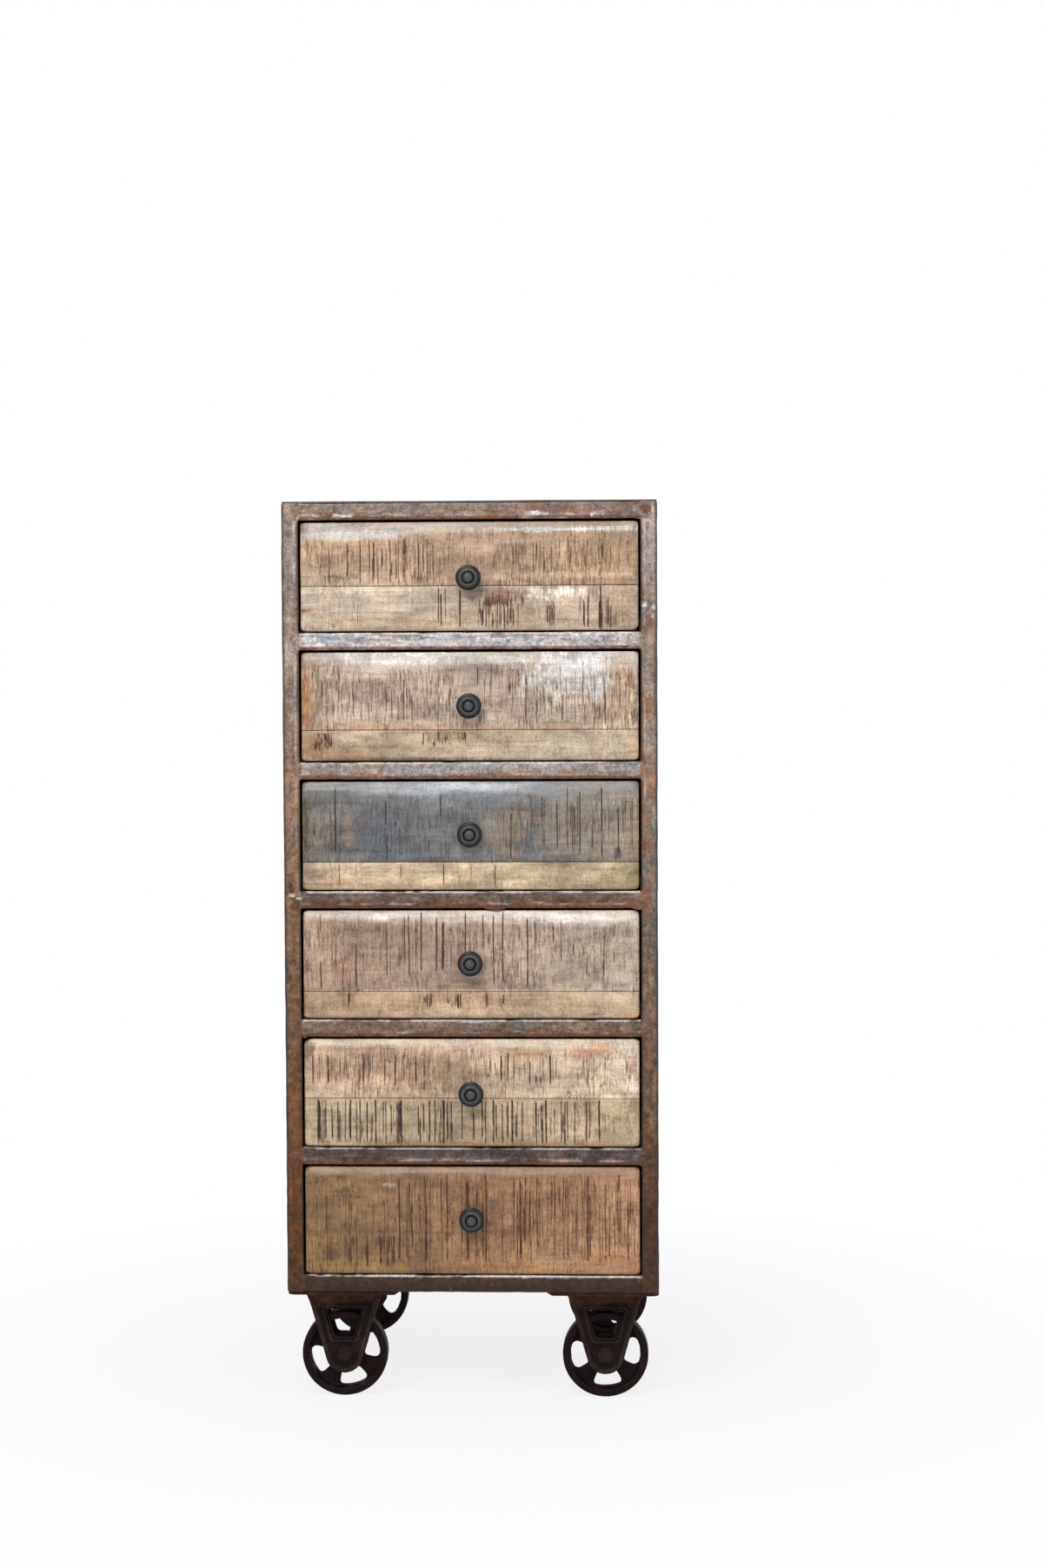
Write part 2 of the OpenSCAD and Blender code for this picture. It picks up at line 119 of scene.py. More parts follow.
def roundOutline(corners, steps=4):
    # corners are (x, y, radius), taken in order round the outline
    points = []
    for k, (x, y, radius) in enumerate(corners):
        here = np.array([x, y], float)
        if radius <= 0:
            points.append(here)
            continue
        back = np.array(corners[k - 1][:2]) - here
        ahead = np.array(corners[(k + 1) % len(corners)][:2]) - here
        back = back / np.linalg.norm(back)
        ahead = ahead / np.linalg.norm(ahead)
        half = math.acos(np.clip(back @ ahead, -1, 1)) / 2
        middle = (back + ahead) / np.linalg.norm(back + ahead)
        centre = here + middle * radius / math.sin(half)
        first = here + back * radius / math.tan(half) - centre
        last = here + ahead * radius / math.tan(half) - centre
        start = math.atan2(first[1], first[0])
        turn = (math.atan2(last[1], last[0]) - start + math.pi) % (2 * math.pi) - math.pi
        for s in range(steps + 1):
            angle = start + turn * s / steps
            points.append(centre + radius * np.array([math.cos(angle), math.sin(angle)]))
    return np.array(points)


def joinShells(shells):
    verts, faces, start = [], [], 0
    for shellVerts, shellFaces in shells:
        verts.append(np.asarray(shellVerts))
        faces += [[i + start for i in face] for face in shellFaces]
        start += len(shellVerts)
    return np.concatenate(verts), faces


def addAttribute(mesh, label, values):
    if values.ndim == 2:
        layer = mesh.attributes.new(label, "FLOAT_COLOR", "POINT")
        full = np.concatenate([values, np.ones((len(values), 1))], axis=1)
        layer.data.foreach_set("color", full.astype(np.float32).ravel())
    else:
        layer = mesh.attributes.new(label, "FLOAT", "POINT")
        layer.data.foreach_set("value", values.astype(np.float32))


def makePiece(name, shell, body, material, stands=(), paint=None, sharp=40):
    # verts come in millimetres
    verts, faces = shell
    mesh = bpy.data.meshes.new(name)
    mesh.from_pydata((np.asarray(verts) * mm).tolist(), [], faces)
    work = bmesh.new()
    work.from_mesh(mesh)
    bmesh.ops.recalc_face_normals(work, faces=work.faces)
    work.to_mesh(mesh)
    work.free()
    for label, values in (paint or {}).items():
        addAttribute(mesh, label, values)
    mesh.shade_smooth()
    mesh.set_sharp_from_angle(angle=math.radians(sharp))
    mesh.materials.append(material)
    piece = bpy.data.objects.new(name, mesh)
    scene.collection.objects.link(piece)
    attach(piece, body)
    if stands:
        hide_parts(*stands)
    return piece


# node helpers

def addNode(tree, kind, links=None, **settings):
    node = tree.nodes.new(kind)
    for label, value in settings.items():
        setattr(node, label, value)
    for label, value in (links or {}).items():
        if isinstance(value, bpy.types.NodeSocket):
            tree.links.new(value, node.inputs[label])
        else:
            node.inputs[label].default_value = value
    return node


def noiseValue(tree, vector, scale, detail=3.0, roughness=0.6, distortion=0.0):
    return addNode(tree, "ShaderNodeTexNoise", {
        "Vector": vector, "Scale": scale, "Detail": detail,
        "Roughness": roughness, "Distortion": distortion}).outputs[0]


def stretched(tree, vector, scale):
    return addNode(tree, "ShaderNodeMapping", {"Vector": vector, "Scale": scale}).outputs[0]


def mapped(tree, value, low, high, toLow=0.0, toHigh=1.0):
    return addNode(tree, "ShaderNodeMapRange", {
        "Value": value, "From Min": low, "From Max": high, "To Min": toLow, "To Max": toHigh}).outputs[0]


def maths(tree, operation, first, second, clamp=False):
    return addNode(tree, "ShaderNodeMath", {0: first, 1: second},
                   operation=operation, use_clamp=clamp).outputs[0]


def mixColor(tree, factor, first, second, blend="MIX"):
    return addNode(tree, "ShaderNodeMix", {0: factor, 6: first, 7: second},
                   data_type="RGBA", blend_type=blend).outputs[2]


def summed(tree, first, *others):
    for other in others:
        first = maths(tree, "ADD", first, other)
    return first


def times(tree, first, second, clamp=False):
    return maths(tree, "MULTIPLY", first, second, clamp)


def swung(tree, noises, swings):
    return [mapped(tree, noises[label], *swing) for label, swing in swings.items()]


def shared(tree, layers, shares):
    # the sum of the layers, each times its share
    return summed(tree, *(times(tree, layers[label], share) for label, share in shares.items()))


def tinted(tree, color, value, reach, dull, clear):
    # multiplies a colour by one that goes from dull to clear as the value passes through its reach
    return mixColor(tree, 1.0, color, mixColor(tree, mapped(tree, value, *reach), dull, clear), "MULTIPLY")


def scaledColor(tree, color, value):
    # a colour made lighter or darker by a value about 1
    return addNode(tree, "ShaderNodeVectorMath", {0: color, "Scale": value}, operation="SCALE").outputs[0]


def makeGroup(name, inputs, outputs):
    tree = bpy.data.node_groups.new(name, "ShaderNodeTree")
    for label, kind, value in inputs:
        socket = tree.interface.new_socket(name=label, in_out="INPUT", socket_type="NodeSocket" + kind)
        if value is not None:
            socket.default_value = value
    for label, kind in outputs:
        tree.interface.new_socket(name=label, in_out="OUTPUT", socket_type="NodeSocket" + kind)
    return tree, tree.nodes.new("NodeGroupInput").outputs, tree.nodes.new("NodeGroupOutput").inputs


skinOutputs = [("Color", "Color"), ("Roughness", "Float"), ("Height", "Float")]

ironLook = {
    # scale, detail, roughness and distortion of each noise
    "fine": (460, 2, 0.75), "middle": (150, 4, 0.65), "broad": (26, 4, 0.6, 0.4),
    "pits": (330, 3, 0.7), "rust": (75, 5, 0.7, 0.5), "chips": (240, 2, 0.5),
    # from and to values of a noise, then how far it darkens and lightens
    "swings": {
        "fine": (0.25, 0.75, -0.5, 0.5), "middle": (0.3, 0.7, -0.34, 0.34), "broad": (0.3, 0.7, -0.2, 0.2)},
    "tintReach": (0.35, 0.65), "cold": (0.93, 0.97, 1.06, 1), "warm": (1.09, 1.0, 0.9, 1),
    "pitReach": (0.61, 0.7), "pitShare": 0.45, "pitTone": (52, 34, 28),
    # the noise level at which rust or chips begin, for inputs of 0 and 1, and how wide their edge is
    "rustFrom": (0.74, 0.4), "rustEdge": 0.09, "rustShare": 0.6, "rustTones": ((84, 54, 40), (140, 96, 68)),
    # the pale chips are partly chipped lacquer and partly painted glints
    "chipFrom": (0.86, 0.5), "chipEdge": 0.04, "chipTone": (232, 226, 222),
    "roughSwing": (0.3, 0.7, -0.1, 0.14), "rustRough": 0.18,
    "heights": {"middle": 0.8, "fine": 0.35, "rust": 0.15, "rustNoise": 1.2, "pits": -0.25},
}


def makeIronSkin():
    # old iron under lacquer: speckle, mottling, dark pits, rust and pale chips, the chips partly chipped
    # lacquer and partly painted glints
    look = ironLook
    tree, given, out = makeGroup("ironSkin", [
        ("Vector", "Vector", None), ("Tone", "Color", None), ("Speckle", "Float", 1.0),
        ("Rust", "Float", 0.0), ("Chips", "Float", 0.0), ("Gloss", "Float", 0.4)], skinOutputs)
    noise = {label: noiseValue(tree, given["Vector"], *look[label])
             for label in ("fine", "middle", "broad", "pits", "rust", "chips")}
    light = summed(tree, *swung(tree, noise, look["swings"]))
    light = summed(tree, times(tree, light, given["Speckle"]), 1.0)
    color = scaledColor(tree, given["Tone"], light)
    color = tinted(tree, color, noise["broad"], look["tintReach"], look["cold"], look["warm"])
    pits = mapped(tree, noise["pits"], *look["pitReach"])
    color = mixColor(tree, times(tree, pits, look["pitShare"]), color, rgba(*look["pitTone"]))
    rustEdge = maths(tree, "SUBTRACT", noise["rust"], mapped(tree, given["Rust"], 0, 1, *look["rustFrom"]))
    rust = mapped(tree, rustEdge, 0, look["rustEdge"])
    rustTones = [rgba(*tone) for tone in look["rustTones"]]
    rustTone = mixColor(tree, mapped(tree, noise["middle"], *look["tintReach"]), *rustTones)
    color = mixColor(tree, times(tree, rust, look["rustShare"]), color, rustTone)
    chipEdge = maths(tree, "SUBTRACT", noise["chips"], mapped(tree, given["Chips"], 0, 1, *look["chipFrom"]))
    color = mixColor(tree, mapped(tree, chipEdge, 0, look["chipEdge"]), color, rgba(*look["chipTone"]))
    tree.links.new(color, out["Color"])
    rough = summed(tree, given["Gloss"], mapped(tree, noise["fine"], *look["roughSwing"]))
    rough = maths(tree, "ADD", rough, times(tree, rust, look["rustRough"]), True)
    tree.links.new(rough, out["Roughness"])
    layers = {**noise, "rustNoise": noise["rust"], "rust": rust, "pits": pits}
    tree.links.new(shared(tree, layers, look["heights"]), out["Height"])
    return tree


woodLook = {
    # stretch along each axis, then scale, detail, roughness and distortion of each noise
    "grain": ((30, 30, 430), 1, 5, 0.75, 0.8), "longGrain": ((7, 7, 95), 1, 4, 0.65, 1.6),
    "streak": ((500, 30, 52), 1, 4, 0.78, 0.5), "blotch": ((34, 34, 60), 1, 4, 0.65, 0.5),
    "fine": ((480, 90, 380), 1, 3, 0.8), "grit": ((1, 1, 1), 280, 4, 0.75, 0.9),
    "saw": ((45, 45, 26), 1, 3, 0.6), "broken": ((300, 20, 130), 1, 3, 0.7),
    # from and to values of a noise, then what they become
    "sawSwing": (0.38, 0.6, 0.15, 1), "quiet": (0, 0.8, 1, 0.15),
    "grainSwings": {"grain": (0.3, 0.7, -0.13, 0.11), "longGrain": (0.3, 0.7, -0.24, 0.2)},
    "swings": {
        "blotch": (0.3, 0.7, -0.24, 0.2), "fine": (0.3, 0.7, -0.17, 0.17), "grit": (0.3, 0.7, -0.2, 0.19)},
    "streakSwing": (0.36, 0.64, -1.15, 0.8), "middle": 1.06, "darkest": 0.2,
    "deepReach": (0.35, 1.1), "deep": (0.92, 0.74, 0.6, 1),
    "tintReach": (0.35, 0.65), "cold": (0.985, 0.995, 1.02, 1), "warm": (1.03, 1.0, 0.95, 1),
    "brokenSwing": (0.34, 0.5, 0.72, 1), "kerfReach": (0.16, 0.62),
    "roughness": (0, 1, 0.52, 0.3), "roughSwing": (0.3, 0.7, -0.07, 0.07), "kerfRough": 0.3,
    "heights": {"grain": 0.5, "fine": 0.2, "sawn": 1.6, "kerf": -0.8},
}


def makeWoodSkin():
    # sawn or planed wood: long grain, saw streaks across it, blotches and dark kerfs
    look = woodLook
    tree, given, out = makeGroup("sawnWood", [
        ("Vector", "Vector", None), ("Tone", "Color", None), ("Kerf", "Float", 0.0), ("Saw", "Float", 0.0),
        ("Planed", "Float", 0.0), ("Kerf Color", "Color", rgba(64, 45, 34))], skinOutputs)
    noise = {label: noiseValue(tree, stretched(tree, given["Vector"], look[label][0]), *look[label][1:])
             for label in ("grain", "longGrain", "streak", "blotch", "fine", "grit", "saw", "broken")}
    sawMask = times(tree, mapped(tree, noise["saw"], *look["sawSwing"]), given["Saw"], True)
    light = summed(tree, *swung(tree, noise, look["grainSwings"]))
    light = times(tree, light, mapped(tree, sawMask, *look["quiet"]))
    light = summed(tree, light, *swung(tree, noise, look["swings"]))
    sawn = times(tree, mapped(tree, noise["streak"], *look["streakSwing"]), sawMask)
    light = maths(tree, "MAXIMUM", summed(tree, light, sawn, look["middle"]), look["darkest"])
    color = scaledColor(tree, given["Tone"], light)
    color = tinted(tree, color, light, look["deepReach"], look["deep"], (1, 1, 1, 1))
    color = tinted(tree, color, noise["blotch"], look["tintReach"], look["cold"], look["warm"])
    broken = mapped(tree, noise["broken"], *look["brokenSwing"])
    kerf = mapped(tree, times(tree, given["Kerf"], broken), *look["kerfReach"])
    tree.links.new(mixColor(tree, kerf, color, given["Kerf Color"]), out["Color"])
    rough = summed(tree, mapped(tree, given["Planed"], *look["roughness"]),
                   mapped(tree, noise["grain"], *look["roughSwing"]))
    rough = maths(tree, "ADD", rough, times(tree, kerf, look["kerfRough"]), True)
    tree.links.new(rough, out["Roughness"])
    layers = {**noise, "sawn": times(tree, noise["streak"], given["Saw"]), "kerf": kerf}
    tree.links.new(shared(tree, layers, look["heights"]), out["Height"])
    return tree


ironSkin = makeIronSkin()
woodSkin = makeWoodSkin()


def skinMaterial(name, group, inputs, shader, bumpDepth, attributes=(), offset=(0, 0, 0)):
    # inputs are the group's own values, attributes the group inputs painted on the mesh
    material = bpy.data.materials.new(name)
    material.use_nodes = True
    tree = material.node_tree
    principled = tree.nodes["Principled BSDF"]
    for label, value in shader.items():
        principled.inputs[label].default_value = value
    place = addNode(tree, "ShaderNodeTexCoord").outputs["Object"]
    place = addNode(tree, "ShaderNodeMapping", {"Vector": place, "Location": offset}).outputs[0]
    skin = addNode(tree, "ShaderNodeGroup", node_tree=group)
    tree.links.new(place, skin.inputs["Vector"])
    for label, value in inputs.items():
        skin.inputs[label].default_value = value
    for label in attributes:
        painted = addNode(tree, "ShaderNodeAttribute", attribute_name=label.lower())
        tree.links.new(painted.outputs["Color" if label == "Tone" else "Fac"], skin.inputs[label])
    bump = addNode(tree, "ShaderNodeBump", {"Height": skin.outputs["Height"], "Distance": bumpDepth})
    tree.links.new(skin.outputs["Color"], principled.inputs["Base Color"])
    tree.links.new(skin.outputs["Roughness"], principled.inputs["Roughness"])
    tree.links.new(bump.outputs["Normal"], principled.inputs["Normal"])
    return material


frameIron = skinMaterial("lacquered_frame_iron", ironSkin, {"Gloss": 0.34, "Speckle": 1.0},
                         {"Specular IOR Level": 0.22, "Coat Weight": 0.22, "Coat Roughness": 0.16},
                         0.0013, ("Tone", "Rust", "Chips"))
sheetIron = skinMaterial("lacquered_sheet_iron", ironSkin, {"Gloss": 0.4, "Speckle": 0.8},
                         {"Specular IOR Level": 0.45, "Coat Weight": 0.2, "Coat Roughness": 0.2},
                         0.0005, ("Tone", "Rust", "Chips"), (0.31, 0.17, 0.05))
innerIron = skinMaterial("dark_inner_iron", ironSkin, {"Tone": rgba(92, 76, 68), "Rust": 0.25, "Gloss": 0.5},
                         {"Specular IOR Level": 0.3}, 0.0004)
castIron = skinMaterial("dark_cast_iron", ironSkin, {"Gloss": 0.5, "Speckle": 0.9},
                        {"Specular IOR Level": 0.1}, 0.0007, ("Tone", "Rust"))
fastenerSteel = skinMaterial("blackened_fastener_steel", ironSkin,
                             {"Tone": rgba(58, 50, 47), "Rust": 0.2, "Gloss": 0.4},
                             {"Specular IOR Level": 0.3}, 0.0002)
axleIron = skinMaterial("dark_axle_iron", ironSkin, {"Tone": rgba(36, 24, 23), "Rust": 0.15, "Gloss": 0.5},
                        {"Specular IOR Level": 0.15}, 0.0003)
knobIron = skinMaterial("blackened_knob_iron", ironSkin,
                        {"Speckle": 0.6, "Gloss": 0.3}, {"Specular IOR Level": 0.26}, 0.0003, ("Tone",))
boxWood = skinMaterial("plain_box_wood", woodSkin,
                       {"Tone": rgba(181, 150, 112), "Saw": 0.12, "Planed": 0.3},
                       {"Specular IOR Level": 0.3}, 0.0003)
print("materials are made")


# drawer fronts: places are measured from the left edge and down from the top edge, in millimetres

frontShape = {
    "columnStep": 0.8, "rowStep": 2.2, "closeEdges": [0, 0.35, 0.9, 1.7, 2.8], "jointGap": 0.12,
    "bevelDrop": 4.6, "bevelCurve": 1.12, "bevelWave": (1.8, 46),
    "sideRound": 6.0, "sideDrop": 1.9, "footRound": 5.0, "footDrop": 2.0,
    # planing waves: how deep, then their size, stretch and share
    "planing": 0.35, "planes": [(58, 2.2, 1), (21, 1.6, 0.5)], "planingLevel": 1.2,
    "seamRound": 1.4, "seamDrop": 0.7, "cornerReach": 14.0,
    "ragged": [(11, 9, 0.5), (1.7, 8, 0.35), (3, 2.5, 0.2)],
    # saw kerfs: how many, how strong, how wide, how they wander and where they fade out
    "kerfCount": 2.0, "kerfSpread": (0.25, 1.15), "kerfStrength": 1.4, "kerfWidth": (0.34, 0.27),
    "kerfReach": 4, "kerfWander": (0.2, 17), "kerfHead": (-1, 3), "kerfTail": (-5, 2), "kerfGaps": (2.2, 8),
    "kerfBreaks": 0.4, "kerfDepth": 0.35, "kerfShade": (0.75, 0.5, 0.38),
    # clouds of tone: size across, size down, share
    "cloud": 0.42, "clouds": [(52, 24, 0.6), (17, 11, 0.4)],
    # the planed bevel's colour, partly paler planed wood and partly a painted glossy highlight: its
    # patchiness and how ragged its edge is
    "planedSize": (34, 5), "planedLevel": 0.78, "planedSwing": 0.35, "planedRagged": (0.3, 0.25),
    "planedTo": 0.4,
    # dirt in the joints and along the rim, and how the saw marks and the rear are toned
    "seamShade": 0.75, "seamEdge": (1.6, 0.8), "seamTone": (70, 52, 40), "rimShade": 0.45,
    "rimReach": (0.3, 2.2), "rimTone": (104, 84, 62), "sawLevel": (0.75, 0.5), "rearShade": 0.6,
}

# each front's edge tones colour the planed bevel and are partly a painted glossy highlight; its near-white
# patches are painted glossy highlights, the other patches stains and tone
fronts = {
    1: {
        "seam": 74, "butt": 349.5, "bevel": [(0, 20), (0.24, 22), (0.34, 12), (1, 9)], "fade": 0.2,
        "strokes": (0.3, 1.0), "corners": (2, 3, 5, 7), "saw": 0.75, "lowerSaw": 0.35,
        "upper": [(0, 198, 172, 146), (0.45, 184, 158, 134), (1, 170, 146, 122)],
        "lower": [(0, 195, 180, 163), (0.5, 196, 180, 162), (1, 180, 161, 144)],
        "edge": [
            (0, 172, 165, 160), (0.4, 164, 150, 136), (0.7, 166, 154, 142), (1, 158, 148, 134)],
        "kerf": (82, 58, 44),
        "patches": [
            (4, 4, 12, 14, (112, 96, 80), 0.8), (50, 14, 56, 6, (212, 208, 206), 0.6),
            (300, 9, 84, 2.4, (232, 232, 232), 0.8), (296, 2.5, 96, 2, (168, 148, 120), 0.7),
            (48, 66, 62, 9, (176, 158, 144), 0.7), (30, 6, 26, 3, (120, 116, 112), 0.5),
            (120, 8, 30, 2.5, (132, 126, 118), 0.5), (250, 7, 50, 2.5, (136, 124, 110), 0.4),
            (48, 63.4, 40, 1.2, (104, 82, 66), 0.7), (18, 26, 14, 8, (178, 156, 120), 0.6),
            (70, 30, 40, 8, (196, 160, 128), 0.5), (330, 42, 60, 18, (172, 144, 112), 0.55),
            (310, 62, 80, 5, (206, 184, 152), 0.7), (340, 70, 50, 5, (166, 132, 104), 0.6),
            (180, 50, 30, 16, (150, 122, 100), 0.4), (300, 81, 50, 6.5, (238, 230, 220), 0.95),
            (60, 79, 60, 4.5, (228, 213, 192), 0.85), (228, 92, 20, 6, (74, 52, 40), 0.95),
            (232, 84, 26, 8, (140, 104, 84), 0.7), (6, 103, 5, 2.5, (92, 62, 44), 0.8),
            (14, 105, 6, 5, (184, 144, 100), 0.6), (38, 119.5, 2, 2, (80, 56, 42), 0.8),
            (250, 110, 50, 10, (188, 160, 132), 0.5), (371, 100, 20, 26, (190, 166, 140), 0.7),
            (361, 115, 8, 6, (96, 78, 68), 0.6), (120, 116, 90, 8, (196, 172, 138), 0.5)],
        "kerfs": [
            (26, 20, 55, 0.5), (34, 30, 75, 0.7), (55, 22, 65, 0.8), (70, 20, 72, 0.7), (63, 24, 60, 0.4),
            (67, 95, 121, 0.5), (161, 76, 120, 0.7), (164, 82, 122, 1.3), (169, 76, 116, 0.6),
            (186, 78, 124, 1.9), (212, 100, 122, 1.3), (349.5, 74, 126, 1.8), (348, 92, 126, 1.4),
            (351, 100, 126, 0.8)],
        "clusters": [
            (80, 155, 18, 73, 26, 0.6), (155, 200, 24, 70, 10, 0.4), (247, 388, 18, 60, 34, 0.5),
            (206, 258, 88, 126, 16, 0.75), (200, 262, 76, 106, 10, 0.5), (286, 296, 88, 126, 8, 0.8),
            (323, 336, 82, 126, 6, 0.7), (352, 376, 88, 126, 6, 0.6), (20, 140, 96, 124, 7, 0.25)],
    },
    2: {
        "seam": 90.5, "bevel": [(0, 12), (0.3, 16), (1, 14)], "fade": 0.7, "strokes": (0.1, 0.5),
        "corners": (3, 3, 4, 4), "saw": 0.9, "lowerSaw": 0.3,
        "upper": [
            (0, 172, 148, 128), (0.1, 186, 166, 152), (0.5, 188, 170, 156), (1, 188, 169, 153)],
        "lower": [(0, 176, 155, 130), (0.5, 181, 164, 142), (1, 187, 172, 152)],
        "edge": [
            (0, 172, 162, 152), (0.3, 196, 191, 188), (0.55, 178, 170, 162), (1, 186, 180, 174)],
        "kerf": (84, 62, 52),
        "patches": [
            (5, 60, 7, 56, (178, 124, 84), 0.78), (17, 74, 6, 46, (136, 114, 84), 0.5),
            (10, 112, 12, 13, (150, 116, 66), 0.7), (110, 124.5, 96, 3, (112, 84, 52), 0.7),
            (60, 98, 36, 6, (206, 190, 168), 0.6), (190, 88, 150, 3, (194, 158, 128), 0.6),
            (90, 86, 60, 4, (196, 158, 128), 0.5), (120, 7, 62, 6, (240, 236, 232), 0.75),
            (240, 8, 34, 4, (226, 222, 218), 0.5), (312, 26, 42, 25, (222, 222, 224), 0.85),
            (276, 36, 26, 14, (216, 212, 208), 0.6), (300, 60, 30, 8, (196, 190, 182), 0.45),
            (243, 41, 5, 7, (90, 66, 54), 0.6), (376, 50, 16, 40, (194, 170, 140), 0.6),
            (382, 30, 8, 12, (196, 158, 124), 0.4), (18, 121, 7, 3, (74, 52, 40), 0.8),
            (40, 119, 40, 5, (170, 138, 100), 0.6), (24, 105, 11, 9, (136, 102, 76), 0.7),
            (167, 97, 22, 6, (142, 110, 86), 0.6), (300, 112, 70, 10, (202, 188, 168), 0.5),
            (386, 112, 8, 14, (200, 158, 120), 0.4), (150, 6, 90, 3, (170, 166, 162), 0.4)],
        "kerfs": [
            (304.5, 48, 82, 0.7), (329, 10, 62, 0.6), (342, 22, 88, 0.6), (354, 30, 86, 0.6),
            (243, 34, 50, 0.9), (206, 14, 40, 0.7), (214, 40, 86, 0.5), (222, 14, 70, 0.5),
            (262, 20, 84, 0.6), (275, 40, 86, 0.6), (24, 30, 70, 0.7), (44, 24, 60, 0.6),
            (120, 30, 80, 0.7), (362, 40, 88, 0.4), (372, 24, 70, 0.4)],
        "clusters": [
            (19, 185, 12, 86, 120, 0.42), (15, 36, 92, 116, 20, 1.2), (140, 192, 90, 112, 40, 0.7),
            (196, 300, 10, 88, 76, 0.4), (300, 388, 14, 90, 56, 0.42), (60, 140, 96, 112, 8, 0.3),
            (250, 380, 92, 108, 14, 0.35)],
    },
    3: {
        "seam": 94, "bevel": [(0, 8), (0.2, 13), (0.7, 17), (1, 10)], "fade": 1.3, "strokes": (0.2, 0.8),
        "corners": (3, 3, 4, 5), "saw": 0.6, "lowerSaw": 0.2, "cloud": 0.5,
        "upper": [
            (0, 118, 114, 108), (0.3, 106, 110, 116), (0.6, 118, 118, 118), (1, 138, 132, 124)],
        "lower": [
            (0, 200, 178, 150), (0.5, 208, 189, 160), (0.85, 196, 176, 148), (1, 160, 146, 110)],
        "edge": [
            (0, 124, 124, 124), (0.3, 154, 159, 165), (0.5, 162, 168, 177), (0.7, 132, 134, 137),
            (1, 128, 124, 118)],
        "kerf": (58, 48, 44),
        "patches": [
            (4, 52, 4, 36, (74, 70, 42), 0.85), (9, 30, 5, 14, (100, 92, 70), 0.5),
            (22, 54, 16, 20, (142, 132, 122), 0.5), (53, 54, 6, 14, (150, 134, 108), 0.55),
            (270, 72, 16, 16, (82, 88, 100), 0.8), (238, 56, 24, 26, (136, 122, 106), 0.7),
            (92, 64, 22, 22, (92, 100, 112), 0.7), (200, 20, 40, 12, (120, 128, 140), 0.5),
            (305, 36, 30, 18, (112, 112, 116), 0.5), (140, 40, 60, 26, (110, 110, 114), 0.45),
            (330, 50, 60, 36, (146, 132, 116), 0.55), (386, 50, 7, 40, (150, 126, 100), 0.6),
            (369, 84, 4, 6, (62, 48, 40), 0.7), (200, 92, 190, 1.6, (92, 78, 64), 0.5),
            (24, 121, 16, 3.5, (176, 126, 84), 0.8), (44, 117, 12, 3, (184, 142, 100), 0.6),
            (120, 122, 110, 4, (176, 146, 104), 0.6), (386, 116, 8, 12, (122, 112, 72), 0.75),
            (300, 121, 80, 4, (168, 146, 106), 0.6), (200, 6, 60, 4, (202, 208, 216), 0.6)],
        "kerfs": [
            (38.7, 6, 84, 0.7), (38.5, 16, 60, 0.9), (98, 23, 51, 0.9), (99, 61, 93, 0.7),
            (162, 16, 44, 0.7), (148, 66, 86, 0.7), (350, 6, 91, 0.85), (310, 6, 81, 0.6),
            (298, 21, 79, 0.7), (324.5, 11, 86, 0.7), (369, 31, 86, 0.8), (244, 36, 91, 0.7),
            (270, 30, 84, 0.4), (283, 20, 70, 0.4), (43, 95, 124, 0.5), (115, 95, 116, 0.6),
            (165, 96, 122, 0.7), (197, 95, 118, 0.5), (225.5, 96, 124, 0.6)],
        "clusters": [
            (8, 40, 30, 74, 10, 0.4), (44, 240, 16, 90, 34, 0.34), (240, 388, 14, 90, 40, 0.45),
            (30, 380, 96, 116, 14, 0.25)],
    },
    4: {
        "seam": 94.5, "bevel": [(0, 9), (0.5, 13), (1, 12)], "fade": 0.6, "strokes": (0.25, 0.9),
        "corners": (3, 5, 4, 5), "saw": 0.7, "lowerSaw": 0.3,
        "upper": [
            (0, 172, 148, 129), (0.4, 165, 144, 129), (0.7, 174, 157, 143), (1, 182, 168, 156)],
        "lower": [(0, 187, 160, 132), (0.5, 193, 167, 138), (1, 194, 174, 148)],
        "edge": [
            (0, 192, 180, 172), (0.5, 206, 194, 186), (0.75, 224, 214, 206), (1, 226, 216, 208)],
        "kerf": (80, 56, 46),
        "patches": [
            (46.5, 70, 8, 16, (150, 104, 88), 0.5), (40, 64, 11, 2.5, (206, 190, 178), 0.5),
            (87, 8, 12, 4, (236, 230, 226), 0.8), (322, 8, 66, 5, (240, 232, 226), 0.7),
            (100, 40, 60, 20, (160, 136, 118), 0.4), (352, 88, 5, 8, (134, 100, 80), 0.45),
            (20, 50, 20, 30, (180, 152, 128), 0.5), (300, 60, 50, 20, (184, 166, 150), 0.4),
            (378, 50, 16, 40, (190, 172, 156), 0.6), (200, 93.5, 190, 1.4, (218, 196, 168), 0.6),
            (52, 106, 7, 12, (150, 116, 86), 0.4), (142, 106, 12, 10, (170, 138, 108), 0.3),
            (340, 121, 12, 1.5, (96, 70, 52), 0.8), (215, 105, 6, 10, (154, 120, 90), 0.4),
            (250, 118, 120, 6, (206, 182, 150), 0.5), (384, 122, 10, 5, (206, 158, 110), 0.6)],
        "kerfs": [
            (20, 2, 27, 0.6), (20.5, 58, 93, 0.9), (61.6, 38, 91, 0.7), (98, 12, 78, 0.6),
            (118.7, 5, 63, 0.6), (124, 4, 78, 0.7), (132, 9, 68, 0.6), (138.4, 1, 73, 0.95),
            (156.6, 7, 71, 0.7), (163.2, 12, 73, 0.7), (164.8, 12, 70, 0.7), (190, 2, 47, 0.9),
            (211, 4, 47, 0.7), (223, 4, 88, 0.9), (234, 0, 83, 0.9), (253, 17, 37, 0.6),
            (262.6, 8, 91, 0.95), (271.7, 12, 70, 0.5), (293, 17, 37, 0.9), (302, 10, 63, 0.6),
